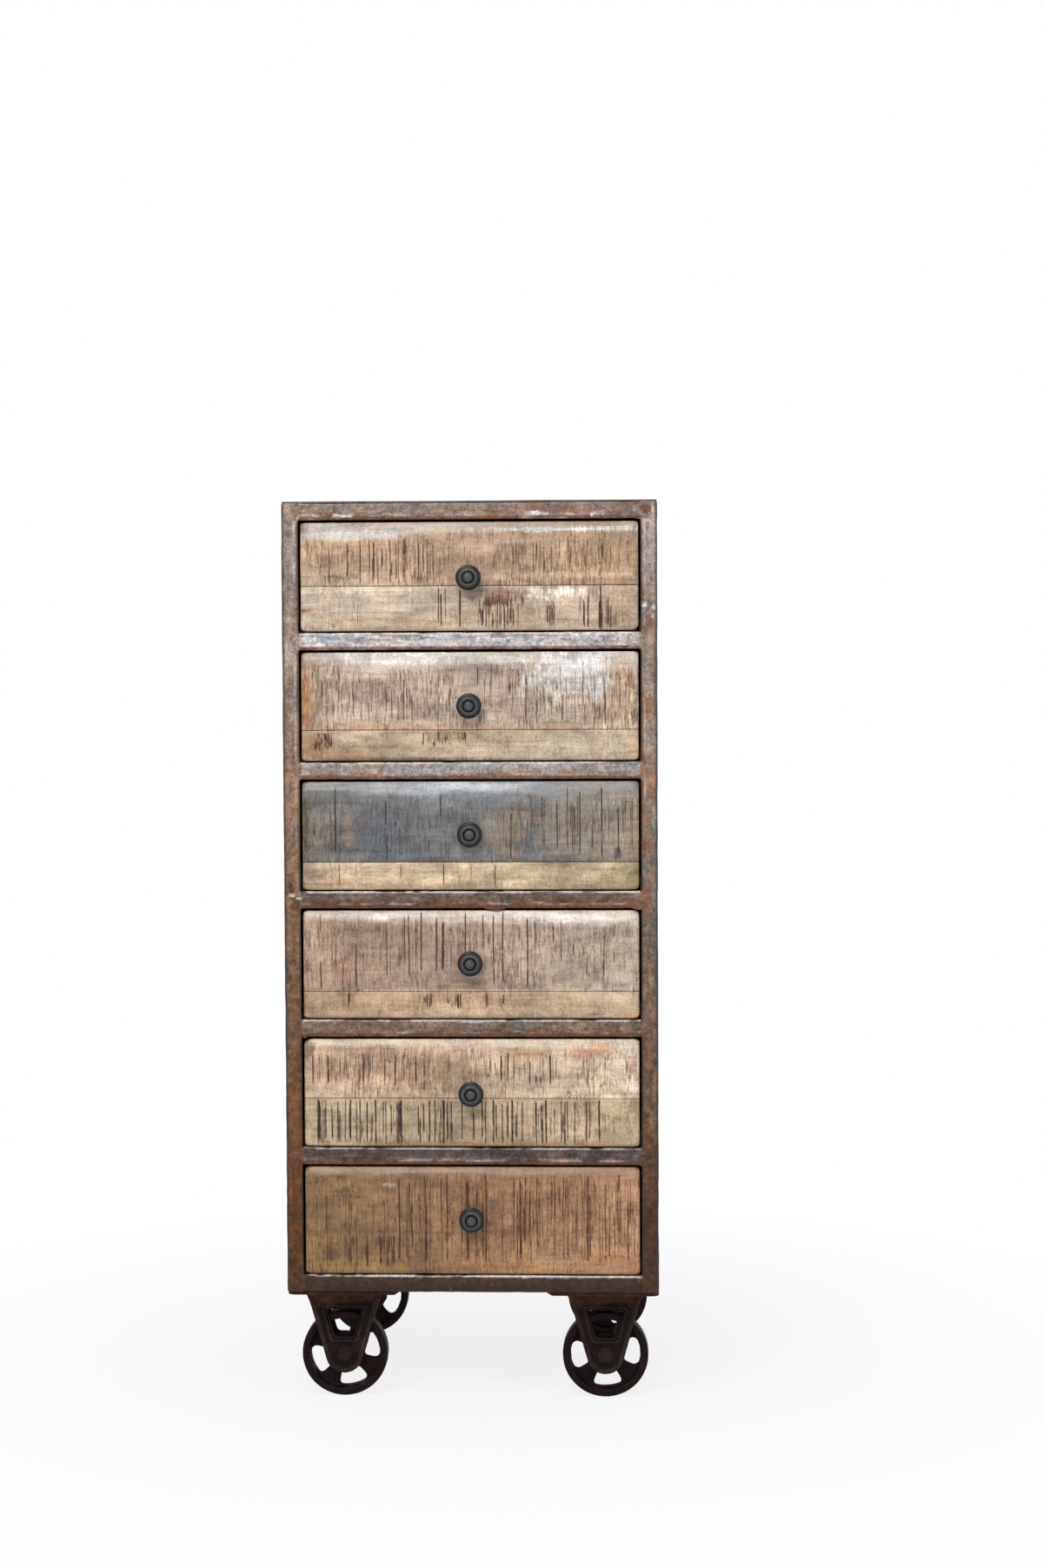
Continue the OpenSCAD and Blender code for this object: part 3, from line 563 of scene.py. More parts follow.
            (316.6, 38, 55, 0.95), (352, 27, 78, 0.7), (363.6, 47, 63, 0.6), (46, 53, 88, 0.5),
            (52.5, 95, 118, 0.9), (54, 95, 110, 0.6), (214, 95, 115, 0.7), (215.6, 95, 114, 0.7)],
        "clusters": [
            (132, 154, 95, 116, 8, 0.75), (168, 188, 95, 118, 8, 0.75), (228, 243, 95, 118, 6, 0.6),
            (80, 250, 4, 80, 26, 0.4), (10, 120, 30, 92, 14, 0.3), (250, 380, 12, 80, 18, 0.3),
            (70, 125, 96, 120, 6, 0.4), (250, 380, 96, 122, 12, 0.25)],
    },
    5: {
        "seam": 69.5, "bevel": [(0, 9), (1, 12)], "fade": 0.6, "strokes": (0.4, 1.0),
        "corners": (6, 4, 4, 4), "saw": 0.8, "lowerSaw": 0.5,
        "upper": [
            (0, 200, 173, 147), (0.4, 194, 166, 141), (0.55, 206, 182, 160), (0.8, 212, 192, 170),
            (1, 214, 197, 178)],
        "lower": [(0, 186, 168, 142), (0.5, 184, 164, 138), (1, 184, 166, 140)],
        "edge": [(0, 200, 184, 160), (0.5, 206, 190, 168), (1, 212, 196, 178)], "kerf": (50, 38, 31),
        "patches": [
            (4, 12, 6, 9, (112, 100, 68), 0.8), (60, 60, 130, 6, (202, 182, 158), 0.75),
            (167, 34, 7, 16, (126, 122, 88), 0.5), (186.5, 34, 4, 16, (130, 124, 92), 0.45),
            (268, 18, 34, 6, (198, 148, 110), 0.65), (340, 12, 28, 8, (204, 152, 114), 0.7),
            (385, 29, 4, 10, (198, 140, 100), 0.5), (215.8, 42.4, 1.6, 1.6, (60, 42, 34), 0.9),
            (381.5, 21, 1.6, 1.6, (70, 46, 36), 0.9), (381.5, 44, 1.6, 1.6, (70, 46, 36), 0.9),
            (300, 60, 90, 5, (210, 192, 168), 0.5), (100, 36, 80, 14, (166, 134, 112), 0.4),
            (333, 96, 4, 26, (134, 100, 74), 0.4), (200, 122, 190, 4, (168, 138, 88), 0.7),
            (60, 90, 50, 16, (192, 178, 154), 0.4), (250, 90, 50, 16, (196, 178, 152), 0.4),
            (378, 100, 14, 20, (164, 146, 118), 0.5), (17, 96, 3, 26, (80, 62, 48), 0.5)],
        "kerfs": [
            (107, 16, 56, 0.9), (131, 18, 56, 0.9), (69.4, 16, 54, 0.85), (28, 18, 52, 0.85),
            (10, 18, 54, 0.8), (94.6, 20, 56, 0.8), (231, 18, 52, 0.8), (239, 14, 50, 0.8),
            (246, 18, 54, 0.6), (265, 24, 54, 0.7), (272.4, 42, 53, 1), (277.4, 42, 53, 1),
            (288.6, 18, 56, 0.7), (307, 12, 50, 0.4), (333, 20, 60, 0.5), (16, 70, 124, 1.5),
            (17.6, 71, 120, 0.9), (25, 70, 118, 0.7), (54, 70, 120, 1.5), (65, 70, 124, 0.9),
            (73.4, 71, 122, 0.85), (83.5, 70, 124, 1.5), (92.6, 72, 116, 0.8), (113.8, 70, 124, 1.5),
            (147, 70, 122, 0.8), (153, 70, 122, 0.8), (163.3, 70, 125, 1.5), (185, 72, 120, 0.8),
            (208.8, 70, 116, 0.75), (212.8, 72, 124, 0.7), (221.9, 70, 124, 1.5), (239, 72, 118, 0.8),
            (244, 70, 124, 1.5), (271.4, 71, 118, 0.8), (283.5, 70, 124, 1.5), (301.7, 70, 120, 0.8),
            (305.7, 71, 124, 1.5), (331, 72, 122, 0.7), (335, 72, 118, 0.6), (346, 70, 122, 1.5),
            (370, 74, 110, 0.4)],
        "clusters": [
            (8, 182, 15, 56, 60, 0.42), (200, 300, 16, 52, 24, 0.45), (300, 380, 18, 52, 10, 0.3),
            (14, 120, 70, 126, 16, 0.7), (120, 320, 70, 126, 30, 0.7), (320, 385, 72, 122, 8, 0.4)],
    },
    6: {
        "seam": 0, "bevel": [(0, 8), (1, 9)], "fade": 0.5, "strokes": (0.4, 1.0), "corners": (4, 4, 3, 4),
        "saw": 0.75, "lowerSaw": 0.75,
        "upper": [
            (0, 140, 110, 76), (0.35, 146, 115, 82), (0.6, 166, 128, 95), (1, 184, 141, 108)],
        "lower": [(0, 136, 108, 78), (1, 160, 124, 99)],
        "edge": [(0, 136, 110, 80), (0.5, 142, 113, 88), (1, 146, 116, 90)], "kerf": (72, 42, 34),
        "patches": [
            (46, 28, 9, 5, (88, 66, 46), 0.75), (98, 21, 11, 2, (206, 190, 166), 0.9),
            (90, 40, 90, 30, (132, 106, 78), 0.4), (142, 84, 7, 26, (108, 74, 62), 0.5),
            (171.7, 43, 1.6, 1.6, (64, 42, 34), 0.9), (24, 108, 18, 9, (96, 64, 50), 0.6),
            (60, 118, 60, 6, (150, 122, 66), 0.7), (230, 118, 130, 3.4, (186, 138, 84), 0.8),
            (350, 108, 40, 6, (182, 130, 84), 0.6), (382, 55, 4, 13, (146, 86, 62), 0.55),
            (376, 87, 5, 11, (146, 88, 64), 0.5), (384, 118, 8, 7, (168, 100, 66), 0.5),
            (12, 96, 10, 26, (150, 124, 74), 0.5), (293.4, 60, 3, 50, (146, 98, 76), 0.3),
            (300, 50, 60, 34, (164, 126, 100), 0.4), (180, 118, 60, 5, (124, 86, 58), 0.5),
            (376, 16, 14, 14, (176, 138, 110), 0.5), (30, 10, 30, 6, (126, 104, 70), 0.6)],
        "kerfs": [
            (52, 67, 118, 0.6), (80, 42, 72, 0.5), (110.6, 12, 112, 0.7), (141.4, 12, 112, 0.7),
            (143, 40, 112, 0.6), (167, 7, 112, 0.95), (192, 16, 100, 0.5), (212.6, 7, 112, 0.95),
            (253, 16, 104, 0.6), (265, 24, 112, 0.6), (273, 12, 96, 0.6), (293.4, 16, 108, 0.6),
            (303.5, 20, 110, 0.6), (332.3, 8, 112, 0.9), (353, 16, 100, 0.6), (369, 7, 29, 0.7),
            (346, 40, 116, 0.5), (120, 60, 116, 0.4), (96, 70, 118, 0.4)],
        "clusters": [
            (6, 110, 30, 118, 24, 0.35), (20, 112, 78, 120, 26, 0.55), (110, 240, 10, 116, 34, 0.5),
            (240, 388, 10, 112, 52, 0.5)],
    },
}


def toneAlong(stops, share):
    colors = np.array([srgb(*stop[1:]) for stop in stops])
    places = [stop[0] for stop in stops]
    return together(*(np.interp(share, places, colors[:, c]) for c in range(3)))


def blendTone(tone, amount, color):
    return tone + (srgb(*color) - tone) * amount[..., None]


def softSpot(across, up, halfWidth, halfHeight, wobble):
    # 1 inside a rounded rectangle, 0 outside, with a ragged edge
    reach = (np.abs(across / halfWidth) ** 3 + np.abs(up / halfHeight) ** 3) ** (1 / 3)
    return 1 - eased(reach + wobble, 0.6, 1.2)


def edgePlaces(length, step, edges):
    # places from 0 to length, closer together at both ends
    inside = np.linspace(edges[-1], length - edges[-1], max(2, round((length - 2 * edges[-1]) / step) + 1))
    return np.concatenate([edges[:-1], inside, length - np.array(edges[:-1])[::-1]])


def kerfField(u, down, number):
    # how far a point lies in a saw kerf, from 0 to 1
    shape, front = frontShape, fronts[number]
    draw = random.Random(number * 17)
    kerfs = list(front["kerfs"])
    for left, right, high, low, count, strength in front["clusters"]:
        for k in range(round(count * shape["kerfCount"])):
            length = (low - high) * draw.uniform(*front["strokes"])
            start = high + (low - high - length) * draw.random()
            kerfs.append((draw.uniform(left, right), start, start + length,
                          strength * draw.uniform(*shape["kerfSpread"])))
    gaps = flatNoise(u, down, *shape["kerfGaps"], number)
    field = np.zeros_like(u)
    sway, swayLength = shape["kerfWander"]
    for place, high, low, strength in kerfs:
        strength = strength * shape["kerfStrength"]
        width = shape["kerfWidth"][0] + shape["kerfWidth"][1] * strength
        near = np.abs(u[:, 0] - place) < shape["kerfReach"]
        columns, depth = u[near], down[near]
        middle = place + sway * np.sin(depth / swayLength + place)
        across = np.exp(-((columns - middle) / width) ** 2)
        along = eased(depth, *(high + end for end in shape["kerfHead"]))
        along = along * (1 - eased(depth, *(low + end for end in shape["kerfTail"])))
        along = along * np.clip(1.0 + shape["kerfBreaks"] * gaps[near], 0.5, 1)
        field[near] = np.maximum(field[near], np.clip(strength, 0, 1) * across * along)
    return field


def frontDepth(u, down, number, width, height):
    # how far the face lies behind its highest plane
    shape, front = frontShape, fronts[number]
    place = together(u, down)
    shares, bevels = zip(*front["bevel"])
    wave, waveLength = shape["bevelWave"]
    bevel = np.interp(u / width, shares, bevels)
    bevel = bevel + wave * latticeNoise(place * (1, 0), waveLength, number + 20)
    slope = 1 - down / bevel
    depth = shape["bevelDrop"] * np.clip(slope, 0, 1) ** shape["bevelCurve"]
    side = np.minimum(u, width - u)
    depth = depth + shape["sideDrop"] * np.clip(1 - side / shape["sideRound"], 0, 1) ** 2
    depth = depth + shape["footDrop"] * np.clip(1 - (height - down) / shape["footRound"], 0, 1) ** 2
    planing = sum(part * latticeNoise(place * (1, stretch), size, number + 40 + 20 * k)
                  for k, (size, stretch, part) in enumerate(shape["planes"]))
    return depth + shape["planing"] * (planing + shape["planingLevel"]), slope


def seamShare(u, down, left, right, top, foot, width, height):
    # 1 along the board's joints, 0 beyond the round of its edges
    seams = [np.full_like(u, 99.0)]
    for joined, distance in ((top > 0, down - top), (foot < height, foot - down),
                             (left > 0, u - left), (right < width, right - u)):
        if joined:
            seams.append(distance)
    return np.clip(1 - np.min(seams, axis=0) / frontShape["seamRound"], 0, 1)


def boardPaint(u, down, number, upper, slope, seam, kerf, width, height):
    # tone, kerfs, saw marks and planing of each point of a board's face, with painted glossy highlights on
    # the planed bevel and in the near-white patches
    shape, front = frontShape, fronts[number]
    share = u / width
    tone = toneAlong(front["upper" if upper else "lower"], share)
    wobble = np.zeros_like(u)
    for sizeU, sizeDown, amount in shape["ragged"]:
        wobble += amount * flatNoise(u, down, sizeU, sizeDown, number + 80)
    cloud = sum(amount * flatNoise(u, down, sizeU, sizeDown, number + 30 + k)
                for k, (sizeU, sizeDown, amount) in enumerate(shape["clouds"]))
    tone = tone * (1 + front.get("cloud", shape["cloud"]) * cloud)[..., None]
    patchy = flatNoise(u, down, *shape["planedSize"], number + 90)
    patchy = shape["planedLevel"] + shape["planedSwing"] * patchy
    edgeRagged, faceRagged = shape["planedRagged"]
    planed = eased(slope + edgeRagged * wobble, -front["fade"], shape["planedTo"])
    planed = planed * np.clip(patchy + faceRagged * wobble, 0, 1)
    # the planed bevel's tone: partly paler planed wood, partly a painted glossy highlight
    tone = tone + (toneAlong(front["edge"], share) - tone) * planed[..., None]
    # the near-white patches are painted glossy highlights, the others stains and tone
    for spotU, spotDown, halfWidth, halfHeight, color, amount in front["patches"]:
        if front["seam"] and (spotDown < front["seam"]) != upper:
            continue
        spot = softSpot(u - spotU, down - spotDown, halfWidth, halfHeight, wobble)
        tone = blendTone(tone, spot * amount, color)
    steep, less = shape["seamEdge"]
    tone = blendTone(tone, shape["seamShade"] * np.clip(seam * steep - less, 0, 1), shape["seamTone"])
    rim = np.minimum(np.minimum(u, width - u), height - down)
    tone = blendTone(tone, shape["rimShade"] * (1 - eased(rim, *shape["rimReach"])), shape["rimTone"])
    sawLevel, sawSwing = shape["sawLevel"]
    saw = front["saw" if upper else "lowerSaw"] * (1 - planed) * (sawLevel + sawSwing * wobble)
    return {"tone": tone, "kerf": kerf, "saw": saw, "planed": planed}


def boardShell(number, left, right, top, foot, size):
    shape, front = frontShape, fronts[number]
    width, height, low, faceY, rearY = size
    columns = left + edgePlaces(right - left, shape["columnStep"], shape["closeEdges"])
    rows = top + edgePlaces(foot - top, shape["rowStep"], shape["closeEdges"])
    u, down = np.meshgrid(columns, rows, indexing="ij")
    depth, slope = frontDepth(u, down, number, width, height)
    seam = seamShare(u, down, left, right, top, foot, width, height)
    kerf = kerfField(u, down, number)
    depth = depth + shape["seamDrop"] * seam ** 2 + shape["kerfDepth"] * kerf
    paint = boardPaint(u, down, number, top == 0, slope, seam, kerf, width, height)

    # pull the columns in at the rounded corners: upper left, upper right, lower left, lower right
    reach = shape["cornerReach"]
    for onRight, atFoot in itertools.product((False, True), (False, True)):
        radius = front["corners"][2 * atFoot + onRight]
        edge = np.clip(radius - (height - down if atFoot else down), 0, radius)
        inset = radius - np.sqrt(radius ** 2 - edge ** 2)
        distance = width - u if onRight else u
        moved = np.where(distance < reach, inset * (1 - distance / reach), 0)
        u = u + (-moved if onRight else moved)

    face = together(u - width / 2, faceY + depth, low + height - down)
    nu, nv = u.shape
    ring = gridRim(nu, nv)
    ringIndex = [i * nv + j for i, j in ring]
    flat = face.reshape(-1, 3)
    rear = flat[ringIndex].copy()
    rear[:, 1] = rearY
    faces = gridQuads(nu, nv)
    start, count = nu * nv, len(ring)
    for k in range(count):
        after = (k + 1) % count
        faces.append([ringIndex[k], start + k, start + after, ringIndex[after]])
    # the rear in long strips, with the end rows in the first and last one
    lower = {ring[k][0]: start + k for k in range(count) if ring[k][1] == nv - 1}
    upper = {ring[k][0]: start + k for k in range(nu)}
    sideRight = [start + k for k in range(nu, nu + nv - 2)]
    sideLeft = [start + k for k in range(count - (nv - 2), count)]
    for i in range(nu - 1):
        faces.append([upper[i], upper[i + 1], *(sideRight if i == nu - 2 else []),
                      lower[i + 1], lower[i], *(sideLeft if i == 0 else [])])

    # the rear takes the rim's values, some of them shaded or left out
    shades = {"tone": shape["rearShade"], "kerf": 0, "saw": 1.0, "planed": 0}
    for label, shade in shades.items():
        values = paint[label].reshape(len(flat), -1)
        values = np.concatenate([values, values[ringIndex] * shade])
        paint[label] = values if values.shape[1] > 1 else values[:, 0]
    return (np.concatenate([flat, rear]), faces), paint


frontFinish = {
    "shader": {"Specular IOR Level": 0.4, "Coat Weight": 0.15, "Coat Roughness": 0.22},
    "bump": 0.0006, "shift": (0.37, 0.11, 0.53),
}


def frontMaterial(number):
    finish = frontFinish
    kerfColor = (*srgb(*fronts[number]["kerf"]) * frontShape["kerfShade"], 1)
    return skinMaterial(f"sawn_front_wood_{number}", woodSkin, {"Kerf Color": kerfColor}, finish["shader"],
                        finish["bump"], ("Tone", "Kerf", "Saw", "Planed"),
                        [part * number for part in finish["shift"]])


def makeFront(number):
    low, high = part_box(f"drawer_{number}_front")
    width, height = (high.x - low.x) / mm, (high.z - low.z) / mm
    size = (width, height, low.z / mm, low.y / mm, high.y / mm)
    front = fronts[number]
    seam, butt, gap = front["seam"], front.get("butt"), frontShape["jointGap"]
    if not seam:
        boards = [(0, width, 0, height)]
    else:
        boards = [(0, width, 0, seam - gap)]
        ends = [0, butt, width] if butt else [0, width]
        for left, right in zip(ends, ends[1:]):
            boards.append((left + gap * (left > 0), right - gap * (right < width), seam + gap, height))
    made = [boardShell(number, *board, size) for board in boards]
    shell = joinShells([m[0] for m in made])
    paint = {label: np.concatenate([m[1][label] for m in made]) for label in made[0][1]}
    makePiece(f"drawer_{number}_front_boards", shell, f"drawer_{number}",
              frontMaterial(number), [f"drawer_{number}_front"], paint, 50)


for number in drawerNumbers:
    makeFront(number)
print("drawer fronts are made")


# turned knobs, with the screw and washer behind the front

knobShape = {
    "segments": 56,
    # radius and how far out of the face, from the foot to the middle of the button
    "profile": [
        (8.9, 0.0), (8.9, 1.3), (8.2, 2.1), (6.7, 3.1), (6.4, 5.0), (7.2, 7.6), (10.6, 10.2), (13.3, 11.7),
        (14.3, 12.3), (14.75, 13.2), (14.6, 14.2), (13.9, 14.9), (12.9, 15.2), (12.3, 15.4), (12.1, 16.3),
        (11.6, 17.7), (10.6, 19.0), (9.4, 19.8), (8.3, 19.9), (7.6, 19.6), (7.2, 18.9), (6.9, 18.5),
        (6.3, 18.6), (6.0, 19.4), (5.8, 20.6), (5.1, 21.6), (3.7, 22.4), (1.9, 22.8)],
    "tip": 22.9,
    # behind the front, as radius and height
    "seatGap": 0.05, "washerThick": 0.9, "washerSegments": 32, "screwSegments": 24, "screwTip": 2.7,
    "washer": [(5.7, 0), (6.0, 0.3), (6.0, 0.6), (5.7, 0.9)],
    "screw": [(3.8, 0), (4.0, 0.4), (3.8, 1.4), (2.88, 2.1), (1.44, 2.6)],
    # radius, then colour: painted highlights on the button and shoulder, partly bright wear, and painted
    # shade in the groove and on the rim, partly dark dirt
    "tones": [
        (0, 80, 84, 84), (5.0, 64, 67, 67), (6.2, 14, 17, 18), (7.4, 13, 16, 17), (8.2, 74, 78, 80),
        (10.5, 66, 69, 70), (12.2, 48, 49, 49), (13.0, 16, 12, 11), (15, 12, 9, 9)],
}


def latheShell(profile, segments, startTip=None, endTip=None):
    # profile of (radius, height) turned about the height axis, closed with a point or a flat disc
    turns = np.arange(segments) * 2 * math.pi / segments
    verts = np.concatenate([[(r * math.cos(a), r * math.sin(a), h) for a in turns] for r, h in profile])
    faces = []
    for k in range(len(profile) - 1):
        faces += ringQuads(k * segments, (k + 1) * segments, segments)
    for row, tip in ((0, startTip), (len(profile) - 1, endTip)):
        rim = [row * segments + s for s in range(segments)]
        if tip is None:
            faces.append(rim)
        else:
            verts = np.concatenate([verts, [(0, 0, tip)]])
            faces += [[rim[s], rim[(s + 1) % segments], len(verts) - 1] for s in range(segments)]
    return verts, faces


def turnedOut(shell, x, y, z, outward=-1):
    # lays a lathe shell's height axis along Y, pointing to the front or the rear
    verts, faces = shell
    return together(verts[:, 0] + x, y + outward * verts[:, 2], verts[:, 1] + z), faces


def makeKnob(number):
    shape = knobShape
    low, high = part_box(f"drawer_{number}_knob")
    middle = (low + high) / 2 / mm
    faceY, rearY = (corner.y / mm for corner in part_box(f"drawer_{number}_front"))
    rearY += shape["seatGap"]
    body = latheShell(shape["profile"], shape["segments"], None, shape["tip"])
    washer = latheShell(shape["washer"], shape["washerSegments"])
    screw = latheShell(shape["screw"], shape["screwSegments"], None, shape["screwTip"])
    shell = joinShells([
        turnedOut(body, middle.x, faceY, middle.z), turnedOut(washer, middle.x, rearY, middle.z, 1),
        turnedOut(screw, middle.x, rearY + shape["washerThick"], middle.z, 1)])
    reach = np.hypot(shell[0][:, 0] - middle.x, shell[0][:, 2] - middle.z)
    # the tone by radius carries painted highlights on the raised rings and painted shade in the groove and on
    # the rim
    makePiece(f"drawer_{number}_turned_knob", shell, f"drawer_{number}", knobIron,
              [f"drawer_{number}_knob"], {"tone": toneAlong(shape["tones"], reach)}, 35)


for number in drawerNumbers:
    makeKnob(number)
print("knobs are made")


# iron frame: angle bars with worn edges, painted by height and by place on the front

frameShape = {
    "heelRound": 2.6, "toeRound": 1.3, "filletRound": 3.0, "flatRound": 0.6, "thick": 3.0,
    "step": 2.6, "ease": 0.8, "endStation": 0.3, "acrossFront": 1.8, "acrossRear": 6.0,
    # wear as depth and size of the waves, and how much of it leaves the bar untouched
    "fineWear": (0.28, 9), "broadWear": (0.22, 31), "untouched": 0.12,
    # rails reach a little under the posts' toes, and a tab behind each toe carries them on
    "railOver": 0.4, "tabPlay": 0.2, "tabShort": 1, "tabWear": 0.5, "stopPlay": 1,
}

frameTones = {
    # height, then colour, from the foot up
    "left": [
        (134, 82, 47, 15), (223, 96, 58, 19), (376, 108, 74, 45), (528, 114, 87, 67), (620, 124, 98, 78),
        (681, 130, 106, 88), (833, 137, 116, 101), (1016, 148, 134, 124), (1060, 132, 118, 110)],
    "right": [
        (134, 68, 38, 9), (223, 73, 41, 12), (376, 113, 88, 65), (528, 112, 93, 78), (681, 132, 118, 106),
        (833, 149, 134, 122), (935, 144, 124, 110), (1016, 155, 141, 131), (1060, 146, 128, 116)],
    # upper and lower part of each rail, from the bottom rail up; the pale grey of the upper rails is partly a
    # painted reflection of the lacquer
    "rails": [
        ((62, 39, 22), (44, 25, 13)), ((76, 61, 56), (88, 70, 60)), ((118, 99, 86), (107, 84, 65)),
        ((102, 84, 74), (90, 61, 42)), ((152, 145, 141), (144, 121, 107)), ((160, 158, 160), (174, 169, 170)),
        ((132, 117, 106), (128, 104, 86))],
    # share of painted glossy highlights on each rail, and how strong the painted highlight along its upper
    # edge is
    "shine": np.array([0.0, 0.06, 0.08, 0.05, 0.18, 0.62, 0.15]),
    "edge": np.array([0.85, 0.55, 0.75, 1.0, 0.75, 0.8, 0.0]), "bright": (224, 217, 213),
    # colours of painted shade along the outer edges (dark) and beside the drawers (inside), of the red brown
    # over the drawers, partly painted shade and partly rust (gap), of painted glints (white) and of painted
    # highlight lines (pale)
    "dark": (44, 38, 37), "gap": (104, 56, 34), "white": (226, 226, 230), "inside": (58, 40, 32),
    "pale": (205, 192, 184), "warm": np.array([1.04, 0.9, 0.78]), "cool": np.array([0.97, 1.02, 1.12]),
}

frameMarks = {
    # how deep the front face reaches, as a share of the bar's leg
    "frontShare": 0.6, "sideToSide": (-150, 150), "railMix": (4, 14), "railWave": (3, 22, 5),
    # streaks along the bars: length, width, share and seed
    "streaks": [(28, 3.4, 0.6, 12), (9, 2.2, 0.4, 13)], "streakSwing": 0.3, "streakTint": 1.6,
    # mottling and ragged edges: size, share and seed
    "mottles": [(5.5, 0.5, 14), (2.4, 0.5, 15)], "mottleSwing": (0.8, 0.45), "mottleCalm": (450, 800),
    "ragged": [(7, 0.5, 8), (3, 0.25, 9)],
    # painted glints: size, seed, mottle share and reach, and their share on the posts, growing with height
    "glints": (16, 1.9, 16), "glintMottle": 0.5, "glintReach": (0.05, 0.5), "postShine": 0.06,
    "shineHeights": (500, 900),
    # level, swing, size and seed of rust and of pale chips, partly painted glints; more rust near the foot
    # and low on the rails
    "rust": (0.2, 0.15, 60, 6), "chips": (0.12, 0.12, 45, 7),
    "lowRust": 0.1, "lowRustUnder": 600, "railRust": 0.3, "railRustReach": (2, 8),
    # painted shade and highlight lines, as distances from the edges they follow
    "outerFrom": 3.6, "outerTo": 1.8, "outerRagged": 0.5, "outerShade": 0.85,
    "underDrawer": (-3, 1), "overDrawer": (19, 23),
    "postLine": 4.6, "postLineReach": (0.4, 1.5), "postLineStreak": (0.3, 0.8),
    "insideReach": (1.4, 3.2), "insideShade": 0.85,
    "railTear": 1.6, "railLine": 5.6, "railLineReach": (0.5, 1.6), "railLineStreak": (-0.1, 0.5),
    "railLineShade": 0.6, "gapReach": (2.8, 5.0), "gapShade": (0.8, 0.4),
    "brightReach": (17.6, 19.0), "brightStreak": (-0.45, 0.05),
}

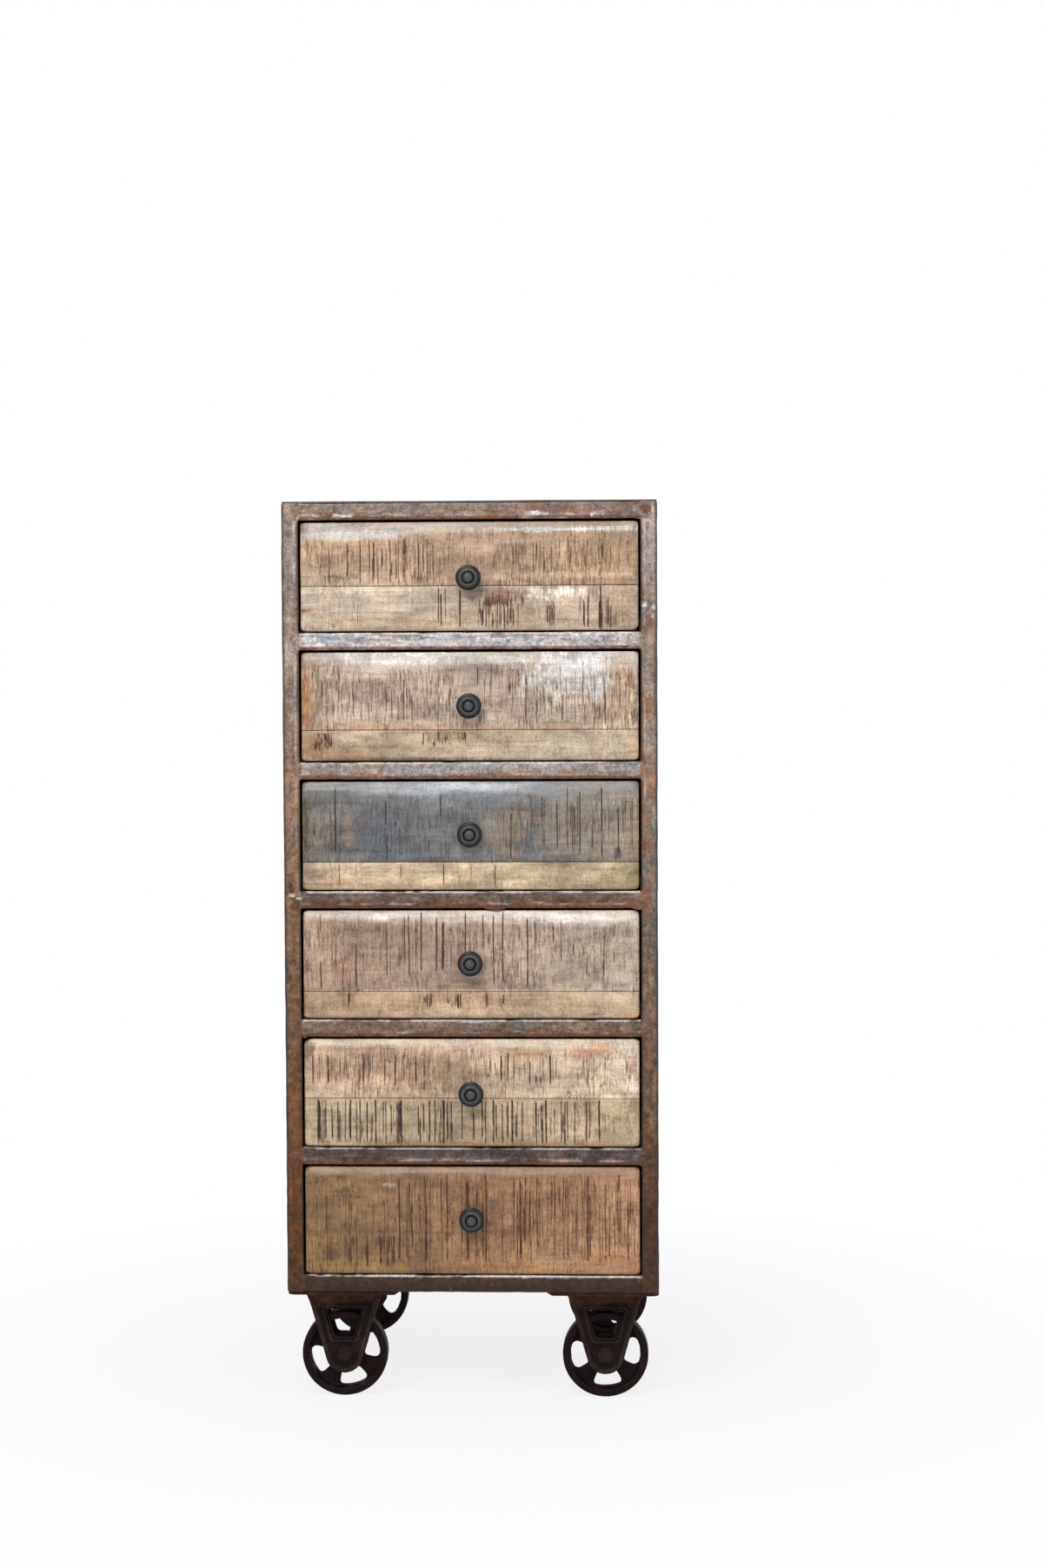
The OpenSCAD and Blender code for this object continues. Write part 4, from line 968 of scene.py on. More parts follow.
# x, z, half width, half height, colour, amount, rust, chips
# the near-white patches are painted highlights on welds and rail edges, partly pale chipped lacquer
framePatches = [
    (-202, 1048, 3, 12, (132, 92, 70), 0.6, 0.2, 0), (-157, 1050, 1.2, 8, (72, 52, 44), 0.7, 0, 0),
    (-144, 1044, 13, 3, (240, 226, 220), 0.95, 0, 0.4),
    (-186, 1043, 12, 3.5, (222, 202, 188), 0.75, 0, 0.4),
    (-211, 1050, 6, 6, (170, 132, 112), 0.5, 0.1, 0.3), (-170, 1037, 24, 2.2, (96, 50, 32), 0.8, 0, 0),
    (-142, 1039, 12, 2, (150, 92, 50), 0.7, 0.4, 0), (60, 1051, 34, 9, (146, 106, 86), 0.5, 0.4, 0.1),
    (116, 1052, 44, 7, (142, 102, 82), 0.55, 0.4, 0.2),
    (96, 1040, 22, 2.2, (226, 212, 204), 0.7, 0.2, 0.5),
    (78, 1047, 14, 3.2, (238, 230, 224), 0.85, 0, 0.5), (64, 1042, 10, 1.8, (236, 228, 222), 0.8, 0, 0.3),
    (205, 1052, 10, 6, (104, 62, 34), 0.92, 0.4, 0), (214, 1050, 2.2, 5, (222, 210, 202), 0.7, 0, 0.6),
    (192, 1049, 2.5, 3, (222, 200, 188), 0.7, 0, 0.7), (206, 1037, 12, 1.8, (224, 204, 190), 0.7, 0, 0.6),
    (150, 1046, 10, 4, (196, 176, 160), 0.6, 0.2, 0.5), (204, 940, 4, 2.6, (230, 216, 208), 0.8, 0, 0.8),
    (213, 937, 3.4, 2, (224, 208, 200), 0.8, 0, 0.6), (210, 921, 6, 10, (122, 78, 52), 0.75, 0.5, 0.3),
    (214, 927, 2.4, 3, (214, 190, 170), 0.6, 0, 0.5), (206, 868, 6, 30, (142, 132, 126), 0.55, 0, 0.1),
    (215.5, 850, 2, 60, (112, 66, 48), 0.6, 0.3, 0), (213, 731, 6, 15, (150, 98, 70), 0.6, 0.6, 0.2),
    (202, 700, 3, 60, (152, 96, 66), 0.6, 0.5, 0), (203, 800, 3.5, 50, (146, 96, 70), 0.55, 0.4, 0),
    (211, 500, 4, 13, (138, 142, 118), 0.6, 0, 0), (204, 600, 5, 30, (132, 84, 58), 0.6, 0.5, 0),
    (208, 1000, 7, 26, (164, 156, 152), 0.4, 0, 0.1), (209, 820, 4, 16, (140, 88, 60), 0.6, 0.6, 0.1),
    (206, 660, 5, 14, (138, 86, 58), 0.6, 0.6, 0), (208, 420, 6, 30, (120, 76, 48), 0.5, 0.5, 0),
    (-208, 460, 6, 22, (132, 88, 58), 0.5, 0.5, 0), (-207, 330, 6, 30, (126, 78, 44), 0.5, 0.5, 0),
    (-208, 611, 6, 10, (146, 96, 62), 0.8, 0.4, 0), (-211, 613, 3, 6, (52, 34, 28), 0.8, 0, 0),
    (-210, 602, 4, 1.7, (228, 220, 214), 0.9, 0, 0.3),
    (-201, 599, 4.5, 1.2, (216, 200, 180), 0.8, 0, 0.3), (-205, 590, 8, 7, (92, 54, 30), 0.85, 0.2, 0),
    (-208, 560, 8, 12, (140, 98, 72), 0.5, 0.4, 0.2), (-202, 760, 3, 60, (170, 132, 108), 0.4, 0.2, 0),
    (-215, 640, 3, 60, (116, 84, 66), 0.5, 0.3, 0), (-210, 884, 8, 16, (176, 166, 160), 0.6, 0, 0.3),
    (-193, 889, 8, 3, (168, 108, 70), 0.75, 0.4, 0), (120, 590, 76, 5, (126, 82, 60), 0.7, 0.5, 0.1),
    (128, 589, 8, 2.6, (176, 108, 66), 0.7, 0.6, 0), (180, 591, 4, 3, (176, 112, 70), 0.6, 0.6, 0.1),
    (36, 597, 1.2, 9, (48, 38, 36), 0.85, 0, 0), (3, 453, 15, 1.2, (214, 206, 204), 0.7, 0, 0.4),
    (-93, 438, 10, 1.6, (196, 184, 176), 0.5, 0, 0.4), (-150, 446, 40, 8, (134, 104, 88), 0.5, 0.3, 0),
    (-60, 300, 50, 6, (88, 74, 72), 0.4, 0.2, 0), (30, 896, 120, 5, (196, 194, 196), 0.5, 0, 0.1),
    (150, 900, 40, 5, (184, 176, 172), 0.5, 0, 0.4), (-60, 748, 60, 4, (176, 174, 180), 0.4, 0, 0.1),
    (-150, 741, 40, 3.5, (146, 102, 78), 0.5, 0.4, 0.1),
    (-75, 152.8, 80, 1.2, (196, 184, 174), 0.55, 0, 0), (98, 152.8, 96, 1.2, (204, 192, 182), 0.6, 0, 0),
]


def frameSizes():
    low, high = cadCorners("post_front_left")
    leg = high.x - low.x
    return {"half": -low.x, "frontY": low.y, "backY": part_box("post_rear_left")[1].y / mm, "bottom": low.z,
            "top": high.z, "leg": leg, "thick": frameShape["thick"], "pitch": (high.z - low.z - leg) / 6}


bars = frameSizes()


def railTop(index):
    return bars["bottom"] + bars["leg"] + bars["pitch"] * index


def noiseSum(points, noises):
    return sum(share * latticeNoise(points, size, seed) for size, share, seed in noises)


def leveled(points, level, swing, size, seed):
    return level + swing * latticeNoise(points, size, seed)


def frameTone(points):
    # colour, rust and chips of the frame at points given in millimetres
    marks, tones = frameMarks, frameTones
    x, y, z = points.T
    share = eased(x, *marks["sideToSide"])[:, None]
    tone = toneAlong(tones["left"], z) * (1 - share) + toneAlong(tones["right"], z) * share
    inner = np.abs(x) < bars["half"] - bars["leg"] - 1
    front = y < bars["frontY"] + bars["leg"] * marks["frontShare"]
    index = np.clip(np.round((z - bars["bottom"] - bars["leg"] / 2) / bars["pitch"]), 0, 6).astype(int)
    rails = np.array([[srgb(*part) for part in rail] for rail in tones["rails"]])
    lift = z - (bars["bottom"] + bars["pitch"] * index)
    mixed = eased(leveled(points, lift, *marks["railWave"]), *marks["railMix"])[:, None]
    railTone = rails[index, 1] * (1 - mixed) + rails[index, 0] * mixed
    tone = np.where((inner & front)[:, None], railTone, tone)

    # streaks along the bars, mottling and painted glints
    along, across = np.where(inner, x, z), np.where(inner, z, x)
    streak = sum(part * flatNoise(along, across, length, width, seed)
                 for length, width, part, seed in marks["streaks"])
    tone = tone * (1 + marks["streakSwing"] * streak)[:, None]
    for sign, tint in ((-1, tones["warm"]), (1, tones["cool"])):
        tone = tone * (1 + np.clip(sign * marks["streakTint"] * streak, 0, 1)[:, None] * (tint - 1))
    mottle = noiseSum(points, marks["mottles"])
    most, less = marks["mottleSwing"]
    tone = tone * (1 + (most - less * eased(z, *marks["mottleCalm"])) * mottle)[:, None]
    # painted highlights: glossy glints on the rails, and on the posts more with height
    glints = flatNoise(along, across, *marks["glints"]) + marks["glintMottle"] * mottle
    upper = eased(z, *marks["shineHeights"])
    shine = np.where(inner, tones["shine"][index], marks["postShine"] * upper) * front
    tone = blendTone(tone, shine * eased(glints, *marks["glintReach"]), tones["white"])

    over = inner & front & (index > 0)
    rust = leveled(points, *marks["rust"]) + marks["lowRust"] * (z < marks["lowRustUnder"])
    rust = rust + np.where(over, marks["railRust"] * (1 - eased(lift, *marks["railRustReach"])), 0)
    chips = leveled(points, *marks["chips"])
    wobble = noiseSum(points, marks["ragged"])
    # patches of stain and rust; the near-white ones are painted highlights, partly pale chipped lacquer
    for spotX, spotZ, halfWidth, halfHeight, color, amount, moreRust, moreChips in framePatches:
        spot = softSpot(x - spotX, z - spotZ, halfWidth, halfHeight, wobble) * front
        tone = blendTone(tone, spot * amount, color)
        rust = rust + spot * (moreRust - marks["rust"][0])
        chips = chips + spot * moreChips
    tone = edgeTone(tone, x, lift, streak, mottle, wobble, upper, (inner, front, over), index)
    return {"tone": tone, "rust": np.clip(rust, 0, 1), "chips": np.clip(chips, 0, 1)}


def lineShare(distance, reach):
    return 1 - eased(np.abs(distance), *reach)


def edgeTone(tone, x, lift, streak, mottle, wobble, upper, places, index):
    # painted shade: dark along the outer edges and dark brown beside the drawers; over the drawers red brown,
    # partly painted shade and partly rust; and painted highlights along pale lines and the rails' upper edges
    marks, tones = frameMarks, frameTones
    inner, front, over = places
    half = bars["half"]
    # painted shade along the outer edges
    ragged = np.abs(x) + marks["outerRagged"] * wobble
    outer = eased(ragged, half - marks["outerFrom"], half - marks["outerTo"]) * front
    tone = blendTone(tone, outer * marks["outerShade"], tones["dark"])
    beside = np.maximum(1 - eased(lift, *marks["underDrawer"]), eased(lift, *marks["overDrawer"]))
    beside = beside * (front & ~inner)
    inward = np.abs(x) - (half - bars["leg"])
    # a painted highlight line on the posts beside the upper drawers
    level, swing = marks["postLineStreak"]
    pale = lineShare(inward - marks["postLine"], marks["postLineReach"]) * beside * upper
    tone = blendTone(tone, pale * np.clip(level + swing * streak, 0, 1), tones["pale"])
    # painted shade on the posts' inner edges beside the drawers
    inside = 1 - eased(inward + wobble, *marks["insideReach"])
    tone = blendTone(tone, marks["insideShade"] * beside * inside, tones["inside"])
    torn = lift + marks["railTear"] * wobble
    # a painted highlight line low on each rail, partly pale chipped lacquer
    pale = lineShare(torn - marks["railLine"], marks["railLineReach"])
    pale = pale * eased(streak, *marks["railLineStreak"]) * over
    tone = blendTone(tone, marks["railLineShade"] * pale, tones["pale"])
    # red brown low on each rail over the drawer, partly painted shade and partly rust
    level, swing = marks["gapShade"]
    gap = (level + swing * mottle) * (1 - eased(torn, *marks["gapReach"])) * over
    tone = blendTone(tone, gap, tones["gap"])
    # painted highlight along each rail's rounded upper edge
    bright = eased(lift, *marks["brightReach"]) * eased(streak, *marks["brightStreak"]) * (inner & front)
    return blendTone(tone, bright * tones["edge"][index], tones["bright"])


def splitLong(outline, step):
    points = []
    for here, there in zip(outline, np.roll(outline, -1, axis=0)):
        parts = max(1, round(np.linalg.norm(there - here) / step))
        points += [here + (there - here) * k / parts for k in range(parts)]
    return np.array(points)


def angleOutline(leg, thick, step):
    shape = frameShape
    heel, toe, fillet = shape["heelRound"], shape["toeRound"], shape["filletRound"]
    outline = roundOutline([(0, 0, heel), (leg, 0, toe), (leg, thick, toe), (thick, thick, fillet),
                            (thick, leg, toe), (0, leg, toe)])
    return splitLong(outline, step)


def flatOutline(width, thick):
    corner = frameShape["flatRound"]
    return roundOutline([(0, 0, corner), (width, 0, corner), (width, thick, corner), (0, thick, corner)], 2)


def barShell(outline, start, along, across, up, length, wear=1.0, seed=11):
    # a bar along one axis whose outline lies in the plane of across and up
    shape = frameShape
    start, along, across, up = (np.array(v, float) for v in (start, along, across, up))
    ahead, behind = np.roll(outline, -1, axis=0), np.roll(outline, 1, axis=0)
    tangent = ahead - behind
    area = np.sum(outline[:, 0] * ahead[:, 1] - ahead[:, 0] * outline[:, 1])
    normal = together(tangent[:, 1], -tangent[:, 0]) * np.sign(area)
    normal = normal / np.linalg.norm(normal, axis=1, keepdims=True)
    outward = normal[:, :1] * across + normal[:, 1:] * up
    ring = start + outline[:, :1] * across + outline[:, 1:] * up
    ease = shape["ease"]
    stations = edgePlaces(length, shape["step"], [0, shape["endStation"], ease, 2 * ease])
    points = ring[None] + stations[:, None, None] * along
    end = np.minimum(stations, length - stations)
    inset = ease * (1 - np.sqrt(1 - (1 - np.clip(end / ease, 0, 1)) ** 2))
    (fine, fineSize), (broad, broadSize) = shape["fineWear"], shape["broadWear"]
    worn = fine * latticeNoise(points, fineSize, seed) + broad * latticeNoise(points, broadSize, seed + 1)
    push = wear * np.minimum(worn - shape["untouched"], 0) - inset[:, None]
    points = points + push[..., None] * outward[None]
    count, turns = len(stations), len(outline)
    faces = []
    for k in range(count - 1):
        faces += ringQuads(k * turns, (k + 1) * turns, turns)
    faces += [list(range(turns)), [(count - 1) * turns + s for s in range(turns)]]
    return points.reshape(-1, 3), faces


def frameBars(name, shells, stands, sharp=50):
    verts, faces = joinShells(shells)
    makePiece(name, (verts, faces), "cabinet", frameIron, stands, frameTone(verts), sharp)


xAxis, yAxis, zAxis = np.eye(3)


def makePosts():
    height = bars["top"] - bars["bottom"]
    for row, y, inward in (("front", bars["frontY"], 1), ("rear", bars["backY"], -1)):
        across = frameShape["acrossFront" if inward > 0 else "acrossRear"]
        outline = angleOutline(bars["leg"], bars["thick"], across)
        for side, sign in (("left", -1), ("right", 1)):
            start = (sign * bars["half"], y, bars["bottom"])
            verts, faces = barShell(outline, start, zAxis, -sign * xAxis, inward * yAxis, height,
                                    1, 20 + sign)
            if row == "front":
                verts = shapePost(verts, sign)
            frameBars(f"post_{row}_{side}_bar", [(verts, faces)], [f"post_{row}_{side}"])


postShape = {
    "cornerRound": 3.5, "cornerShare": 0.8, "cornerFrom": 1, "outerFrom": 8, "outerTo": 1,
    # how far the left and the right post's outer face is drawn in, and the heights that stay full
    "sideIn": (0.0, 0.3), "weldBump": (287, 26), "footBulge": (158, 26), "bulgeFlat": 0.7,
}


def shapePost(verts, sign):
    # draws the outer face in a little, but for the weld bump and the foot bulge on the right
    shape = postShape
    out = verts[:, 0] * sign
    outer = eased(out, bars["half"] - shape["outerFrom"], bars["half"] - shape["outerTo"])
    keep = np.zeros(len(verts))
    if sign > 0:
        for middle, half in (shape["weldBump"], shape["footBulge"]):
            keep = np.maximum(keep, 1 - eased(np.abs(verts[:, 2] - middle), half * shape["bulgeFlat"], half))
    verts[:, 0] -= sign * outer * shape["sideIn"][sign > 0] * (1 - keep)
    corner = shape["cornerRound"]
    edge = np.clip(verts[:, 2] - (bars["top"] + shape["cornerFrom"] - corner), 0, corner)
    verts[:, 0] -= sign * outer * (corner - np.sqrt(corner ** 2 - edge ** 2)) * shape["cornerShare"]
    return verts


def acrossBar(outline, y, z, inward, up, half, seed):
    return barShell(outline, (-half, y, z), xAxis, inward * yAxis, up * zAxis, 2 * half, 1, seed)


def makeRails():
    leg, thick, half, frontY, backY = (bars[label] for label in ("leg", "thick", "half", "frontY", "backY"))
    shape = frameShape
    outline = angleOutline(leg, thick, shape["acrossFront"])
    tab = flatOutline(leg - thick - shape["tabPlay"], thick)
    shells = []
    for k in range(7):
        shells.append(acrossBar(outline, frontY, railTop(k), 1, -1, half - leg + shape["railOver"], 40 + k))
        for sign in (-1, 1):
            start = (sign * (half - leg), frontY + thick + shape["tabPlay"], railTop(k) - thick)
            shells.append(barShell(tab, start, sign * xAxis, yAxis, zAxis, leg - thick - shape["tabShort"],
                                   shape["tabWear"], 50 + k))
    frameBars("front_rail_bars", shells, ["front_rails"])

    outline = angleOutline(leg, thick, shape["acrossRear"])
    stopY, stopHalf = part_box("back_panel")[0].y / mm, half - thick - shape["stopPlay"]
    shells = [acrossBar(outline, stopY, railTop(k) - thick, -1, 1, stopHalf, 60 + k) for k in range(6)]
    shells.append(acrossBar(outline, backY, bars["top"], -1, -1, half - leg, 67))
    shells.append(acrossBar(outline, backY, bars["bottom"], -1, 1, half - leg, 68))
    frameBars("rear_rail_bars", shells, ["rear_rails"])

    frameBars("side_rail_bars", [
        barShell(outline, (sign * half, frontY + leg, z), yAxis, -sign * xAxis, up * zAxis,
                 backY - frontY - 2 * leg, 1, 70 + sign)
        for sign in (-1, 1) for z, up in ((bars["top"], -1), (bars["bottom"], 1))], ["side_rails"])


makePosts()
makeRails()
print("posts and rails are made")


# lumpy welds over the joints of rails and posts, and a spur of weld on the left post

weldShape = {
    "rings": 7, "spokes": 30, "sunk": 0.7, "proud": 1.25, "halfWidth": 13, "halfHeight": 10.5, "sharp": 60,
    "outlineSwing": 0.28, "bumps": [(5, 0.5, 1), (2.6, 0.35, 2)], "bumpLevel": 0.75, "bumpSwing": 0.7,
    # how far each joint's weld strays sideways and in height, and how its size varies
    "strayX": (-3, 2), "strayZ": (-1.5, 1), "varyWidth": (0.7, 1.05), "varyHeight": (0.72, 0.9),
    # single welds: x, z, half width, half height, how proud
    "single": [
        (-208, 600, 7, 2.6, 1.8), (-200, 597, 6, 2.2, 1.4), (-209, 609, 3.4, 9, 1.5),
        (-144, 1045, 13, 3.2, 1.1), (76, 1046, 19, 4.5, 0.9), (201, 1048, 12, 8, 1.3),
        (209, 938, 7, 4, 1.6), (209, 880, 6, 16, 0.8), (30, 590, 14, 5, 0.7)],
}


def lumpShell(x, z, halfWidth, halfHeight, proud, seed):
    # a low uneven dome on the front of the frame
    shape, y = weldShape, bars["frontY"]
    turns = np.arange(shape["spokes"]) * 2 * math.pi / shape["spokes"]
    ragged = latticeNoise(together(np.cos(turns), np.sin(turns)) * 2 + 9, 1, seed)
    ragged = 1 + shape["outlineSwing"] * ragged
    verts, reach = [(x, y + shape["sunk"], z)], np.linspace(0, 1, shape["rings"] + 1)
    for share in reach[1:][::-1]:
        verts += [(x + halfWidth * share * r * math.cos(a), 0, z + halfHeight * share * r * math.sin(a))
                  for a, r in zip(turns, ragged)]
    verts = np.array(verts + [(x, 0, z)])
    shares = np.concatenate([[1], np.repeat(reach[1:][::-1], len(turns)), [0]])
    bumps = noiseSum(verts, [(size, share, seed + k) for size, share, k in shape["bumps"]])
    height = proud * (1 - shares ** 3) * (shape["bumpLevel"] + shape["bumpSwing"] * bumps)
    verts[1:, 1] = (y + shape["sunk"] * shares ** 4 - height)[1:]
    n = len(turns)
    faces = [[0, 1 + s, 1 + (s + 1) % n] for s in range(n)]
    for k in range(shape["rings"] - 1):
        faces += ringQuads(1 + k * n, 1 + (k + 1) * n, n)
    last = 1 + (shape["rings"] - 1) * n
    faces += [[last + s, last + (s + 1) % n, len(verts) - 1] for s in range(n)]
    return verts, faces


def makeWelds():
    draw, shape = random.Random(5), weldShape
    shells = []
    for k in range(7):
        for sign in (-1, 1):
            x = sign * (bars["half"] - bars["leg"] + draw.uniform(*shape["strayX"]))
            z = railTop(k) - bars["leg"] / 2 + draw.uniform(*shape["strayZ"])
            halfWidth = shape["halfWidth"] * draw.uniform(*shape["varyWidth"])
            halfHeight = shape["halfHeight"] * draw.uniform(*shape["varyHeight"])
            shells.append(lumpShell(x, z, halfWidth, halfHeight, shape["proud"], 90 + 2 * k + sign))
    for weld in shape["single"]:
        shells.append(lumpShell(*weld, int(weld[1])))
    frameBars("weld_lumps", shells, (), shape["sharp"])


makeWelds()
print("welds are made")


# sheets of the sides, back and top, a little uneven between their fixings

sheetShape = {
    "step": 9.0, "edges": [0, 0.5, 1.6, 6], "thick": 1.0,
    # waves: how deep and long, how far they stay off the edges and off the riveted rows
    "wave": 0.8, "waveSize": (110, 140), "offEdges": (12, 60), "offRows": (8, 45),
    # swings of the tone and of the rust: share, size, squeeze in height and seed
    "broad": (0.16, 90, 1, 31), "cloud": (0.1, 24, 0.25, 32), "rust": (0.25, 48, 0.4, 33),
    "darker": 0.85, "topDarker": 0.95, "topRound": 3.6, "topIn": 0.7, "topDrop": 0.9, "topDropReach": 1.7,
    # the top's dent, and the painted shade along its front edge
    "topDent": 0.25, "topDentSize": 60, "topFrontEdge": 2.5, "topFrontShade": 0.6,
}


def sheetShell(uSize, vSize, thick, place, wave=None):
    # place(u, v, w) puts a point of the flat sheet, w from 0 to its thickness, in the cabinet
    shape = sheetShape
    us, vs = (edgePlaces(size, shape["step"], shape["edges"]) for size in (uSize, vSize))
    u, v = np.meshgrid(us, vs, indexing="ij")
    lift = wave(u, v) if wave else 0 * u
    near = place(u, v, lift + thick).reshape(-1, 3)
    far = place(u, v, lift).reshape(-1, 3)
    total, faces = u.size, []
    for quad in gridQuads(*u.shape):
        faces += [quad, [total + i for i in quad[::-1]]]
    ring = [i * u.shape[1] + j for i, j in gridRim(*u.shape)]
    for a, b in zip(ring, ring[1:] + ring[:1]):
        faces.append([a, total + a, total + b, b])
    return np.concatenate([near, far]), faces


def heldWave(uSize, vSize, rows, seed):
    # waves that die out at the edges and along the given rows
    def wave(u, v):
        rim = np.minimum(np.minimum(u, uSize - u), np.minimum(v, vSize - v))
        free = eased(rim, *sheetShape["offEdges"])
        for row in rows:
            free = free * eased(np.abs(v - row), *sheetShape["offRows"])
        return sheetShape["wave"] * free * flatNoise(u, v, *sheetShape["waveSize"], seed)
    return wave


def sheetPaint(verts, darker):
    def swing(share, size, squeeze, seed):
        return share * latticeNoise(verts * (1, 1, squeeze), size, seed)
    paint = frameTone(verts)
    broad = 1 + swing(*sheetShape["broad"]) + swing(*sheetShape["cloud"])
    paint["tone"] = paint["tone"] * (darker * broad)[:, None]
    paint["rust"] = np.clip(paint["rust"] + swing(*sheetShape["rust"]), 0, 1)
    return paint


def sheetPiece(name, shell, node, paint):
    makePiece(name, shell, "cabinet", sheetIron, [node], paint, 50)


def makeSheets():
    shape = sheetShape
    for side, sign in (("left", -1), ("right", 1)):
        low, high = cadCorners(f"side_panel_{side}")
        depth, height, outer = high.y - low.y, high.z - low.z, max(abs(low.x), abs(high.x))

        def onSide(u, v, w):
            return together(sign * (outer - w), low.y + u, low.z + v)
        shell = sheetShell(depth, height, shape["thick"], onSide, heldWave(depth, height, (), 81 + sign))
        sheetPiece(f"side_sheet_{side}", shell, f"side_panel_{side}", sheetPaint(shell[0], shape["darker"]))

    low, high = cadCorners("back_panel")
    width, height = high.x - low.x, high.z - low.z
    rows = [railTop(k) + bars["leg"] / 2 - low.z for k in range(6)]

    def onBack(u, v, w):
        return together(low.x + u, low.y + w, low.z + v)
    shell = sheetShell(width, height, shape["thick"], onBack, heldWave(width, height, rows, 85))
    sheetPiece("back_sheet", shell, "back_panel", sheetPaint(shell[0], shape["darker"]))

    topLow, topHigh = cadCorners("top_panel")
    sizeX, sizeY, thick = topHigh.x - topLow.x, topHigh.y - topLow.y, topHigh.z - topLow.z

    def onTop(u, v, w):
        # rounded corners in plan, rounded upper edge
        x, y = u - sizeX / 2, v - sizeY / 2
        corner, dent = shape["topRound"], shape["topDentSize"]
        edge = np.clip(np.abs(x) - (sizeX / 2 - corner), 0, corner)
        y = np.sign(y) * np.minimum(np.abs(y), sizeY / 2 - corner + np.sqrt(corner ** 2 - edge ** 2))
        rim = np.minimum(np.minimum(u, sizeX - u), np.minimum(v, sizeY - v))
        drop = shape["topDrop"] * (1 - eased(rim, 0, shape["topDropReach"]))
        drop = drop + shape["topDent"] * (1 + flatNoise(u, v, dent, dent, 88))
        x = x * (1 - shape["topIn"] / (sizeX / 2))
        z = topLow.z + np.where(w > thick / 2, w - drop, w)
        return together(x, y + (topLow.y + topHigh.y) / 2, z)
    shell = sheetShell(sizeX, sizeY, thick, onTop)
    paint = sheetPaint(shell[0], shape["topDarker"])
    # painted shade along the top sheet's front edge
    rim = shell[0][:, 1] < topLow.y + shape["topFrontEdge"]
    paint["tone"] = blendTone(paint["tone"], rim * shape["topFrontShade"], frameTones["dark"])
    sheetPiece("top_sheet", shell, "top_panel", paint)


makeSheets()
print("sheets are made")


# casters: overlapping solids fused by a fine remesh, so that they come out like castings

castShape = {
    "voxel": 1.0, "smoothing": 5, "kept": 0.42, "sharp": 80,
    # the rough skin: depth, then size and share of its two noises
    "rough": 0.16, "skin": [(7, 1), (3, 0.6)], "rustFrom": 56, "rustBlend": 12, "overFloor": 0.01,
}


def slabShell(outline, near, far, axes):
    # an outline made solid: axes are those of its two places and of its depth
    count = len(outline)
    verts = np.zeros((2 * count, 3))
    verts[:, axes[0]] = np.tile(outline[:, 0], 2)
    verts[:, axes[1]] = np.tile(outline[:, 1], 2)
    verts[:, axes[2]] = np.repeat([near, far], count)
    return verts, ringQuads(0, count, count) + [list(range(count)), list(range(count, 2 * count))]


def reachAlong(outline, centre, angles):
    # distance from the centre to the outline in each direction
    ahead = np.roll(outline, -1, axis=0)
    steps = np.linspace(0, 1, 24, endpoint=False)[:, None, None]
    points = (outline + (ahead - outline) * steps).reshape(-1, 2) - centre
    turns = np.arctan2(points[:, 1], points[:, 0])
    order = np.argsort(turns)
    return np.interp(angles, turns[order], np.hypot(*points.T)[order], period=2 * math.pi)


def ringShell(outer, inner, centre, near, far):
    # a plate in the XZ plane between two outlines, from near to far along Y
    corners = np.concatenate([outer, inner]) - centre
    angles = np.concatenate([np.linspace(-math.pi, math.pi, 120, endpoint=False),
                             np.arctan2(corners[:, 1], corners[:, 0])])
    angles = np.unique(np.round(angles, 4))
    count = len(angles)
    verts = []
    for depth in (near, far):
        for outline in (outer, inner):
            reach = reachAlong(outline, centre, angles)
            verts.append(together(centre[0] + reach * np.cos(angles), np.full(count, depth),
                                  centre[1] + reach * np.sin(angles)))
    sides = [ringQuads(a * count, b * count, count) for a, b in ((0, 1), (1, 3), (3, 2), (2, 0))]
    return np.concatenate(verts), [side[s] for s in range(count) for side in sides]


def fusedCasting(shells, seed):
    # one closed mesh, in millimetres, with soft edges and a slightly rough skin
    shape = castShape
    verts, faces = joinShells(shells)
    mesh = bpy.data.meshes.new("casting_stock")
    mesh.from_pydata((verts * mm).tolist(), [], faces)
    stock = bpy.data.objects.new("casting_stock", mesh)
    scene.collection.objects.link(stock)
    fuse = stock.modifiers.new("fuse", "REMESH")
    fuse.mode = "VOXEL"
    fuse.voxel_size = shape["voxel"] * mm
    smooth = stock.modifiers.new("smooth", "SMOOTH")
    smooth.iterations = shape["smoothing"]
    thin = stock.modifiers.new("thin", "DECIMATE")
    thin.ratio = shape["kept"]
    done = stock.evaluated_get(bpy.context.evaluated_depsgraph_get())
    fused = bpy.data.meshes.new_from_object(done)
    verts = np.empty(len(fused.vertices) * 3)
    fused.vertices.foreach_get("co", verts)
    verts = verts.reshape(-1, 3) / mm
    faces = [list(face.vertices) for face in fused.polygons]
    bpy.data.objects.remove(stock)
    bpy.data.meshes.remove(mesh)
    bpy.data.meshes.remove(fused)
    push = [sum(share * latticeNoise(verts, size, seed + axis + 5 * k)
                for k, (size, share) in enumerate(shape["skin"])) for axis in range(3)]
    return verts + shape["rough"] * together(*push), faces


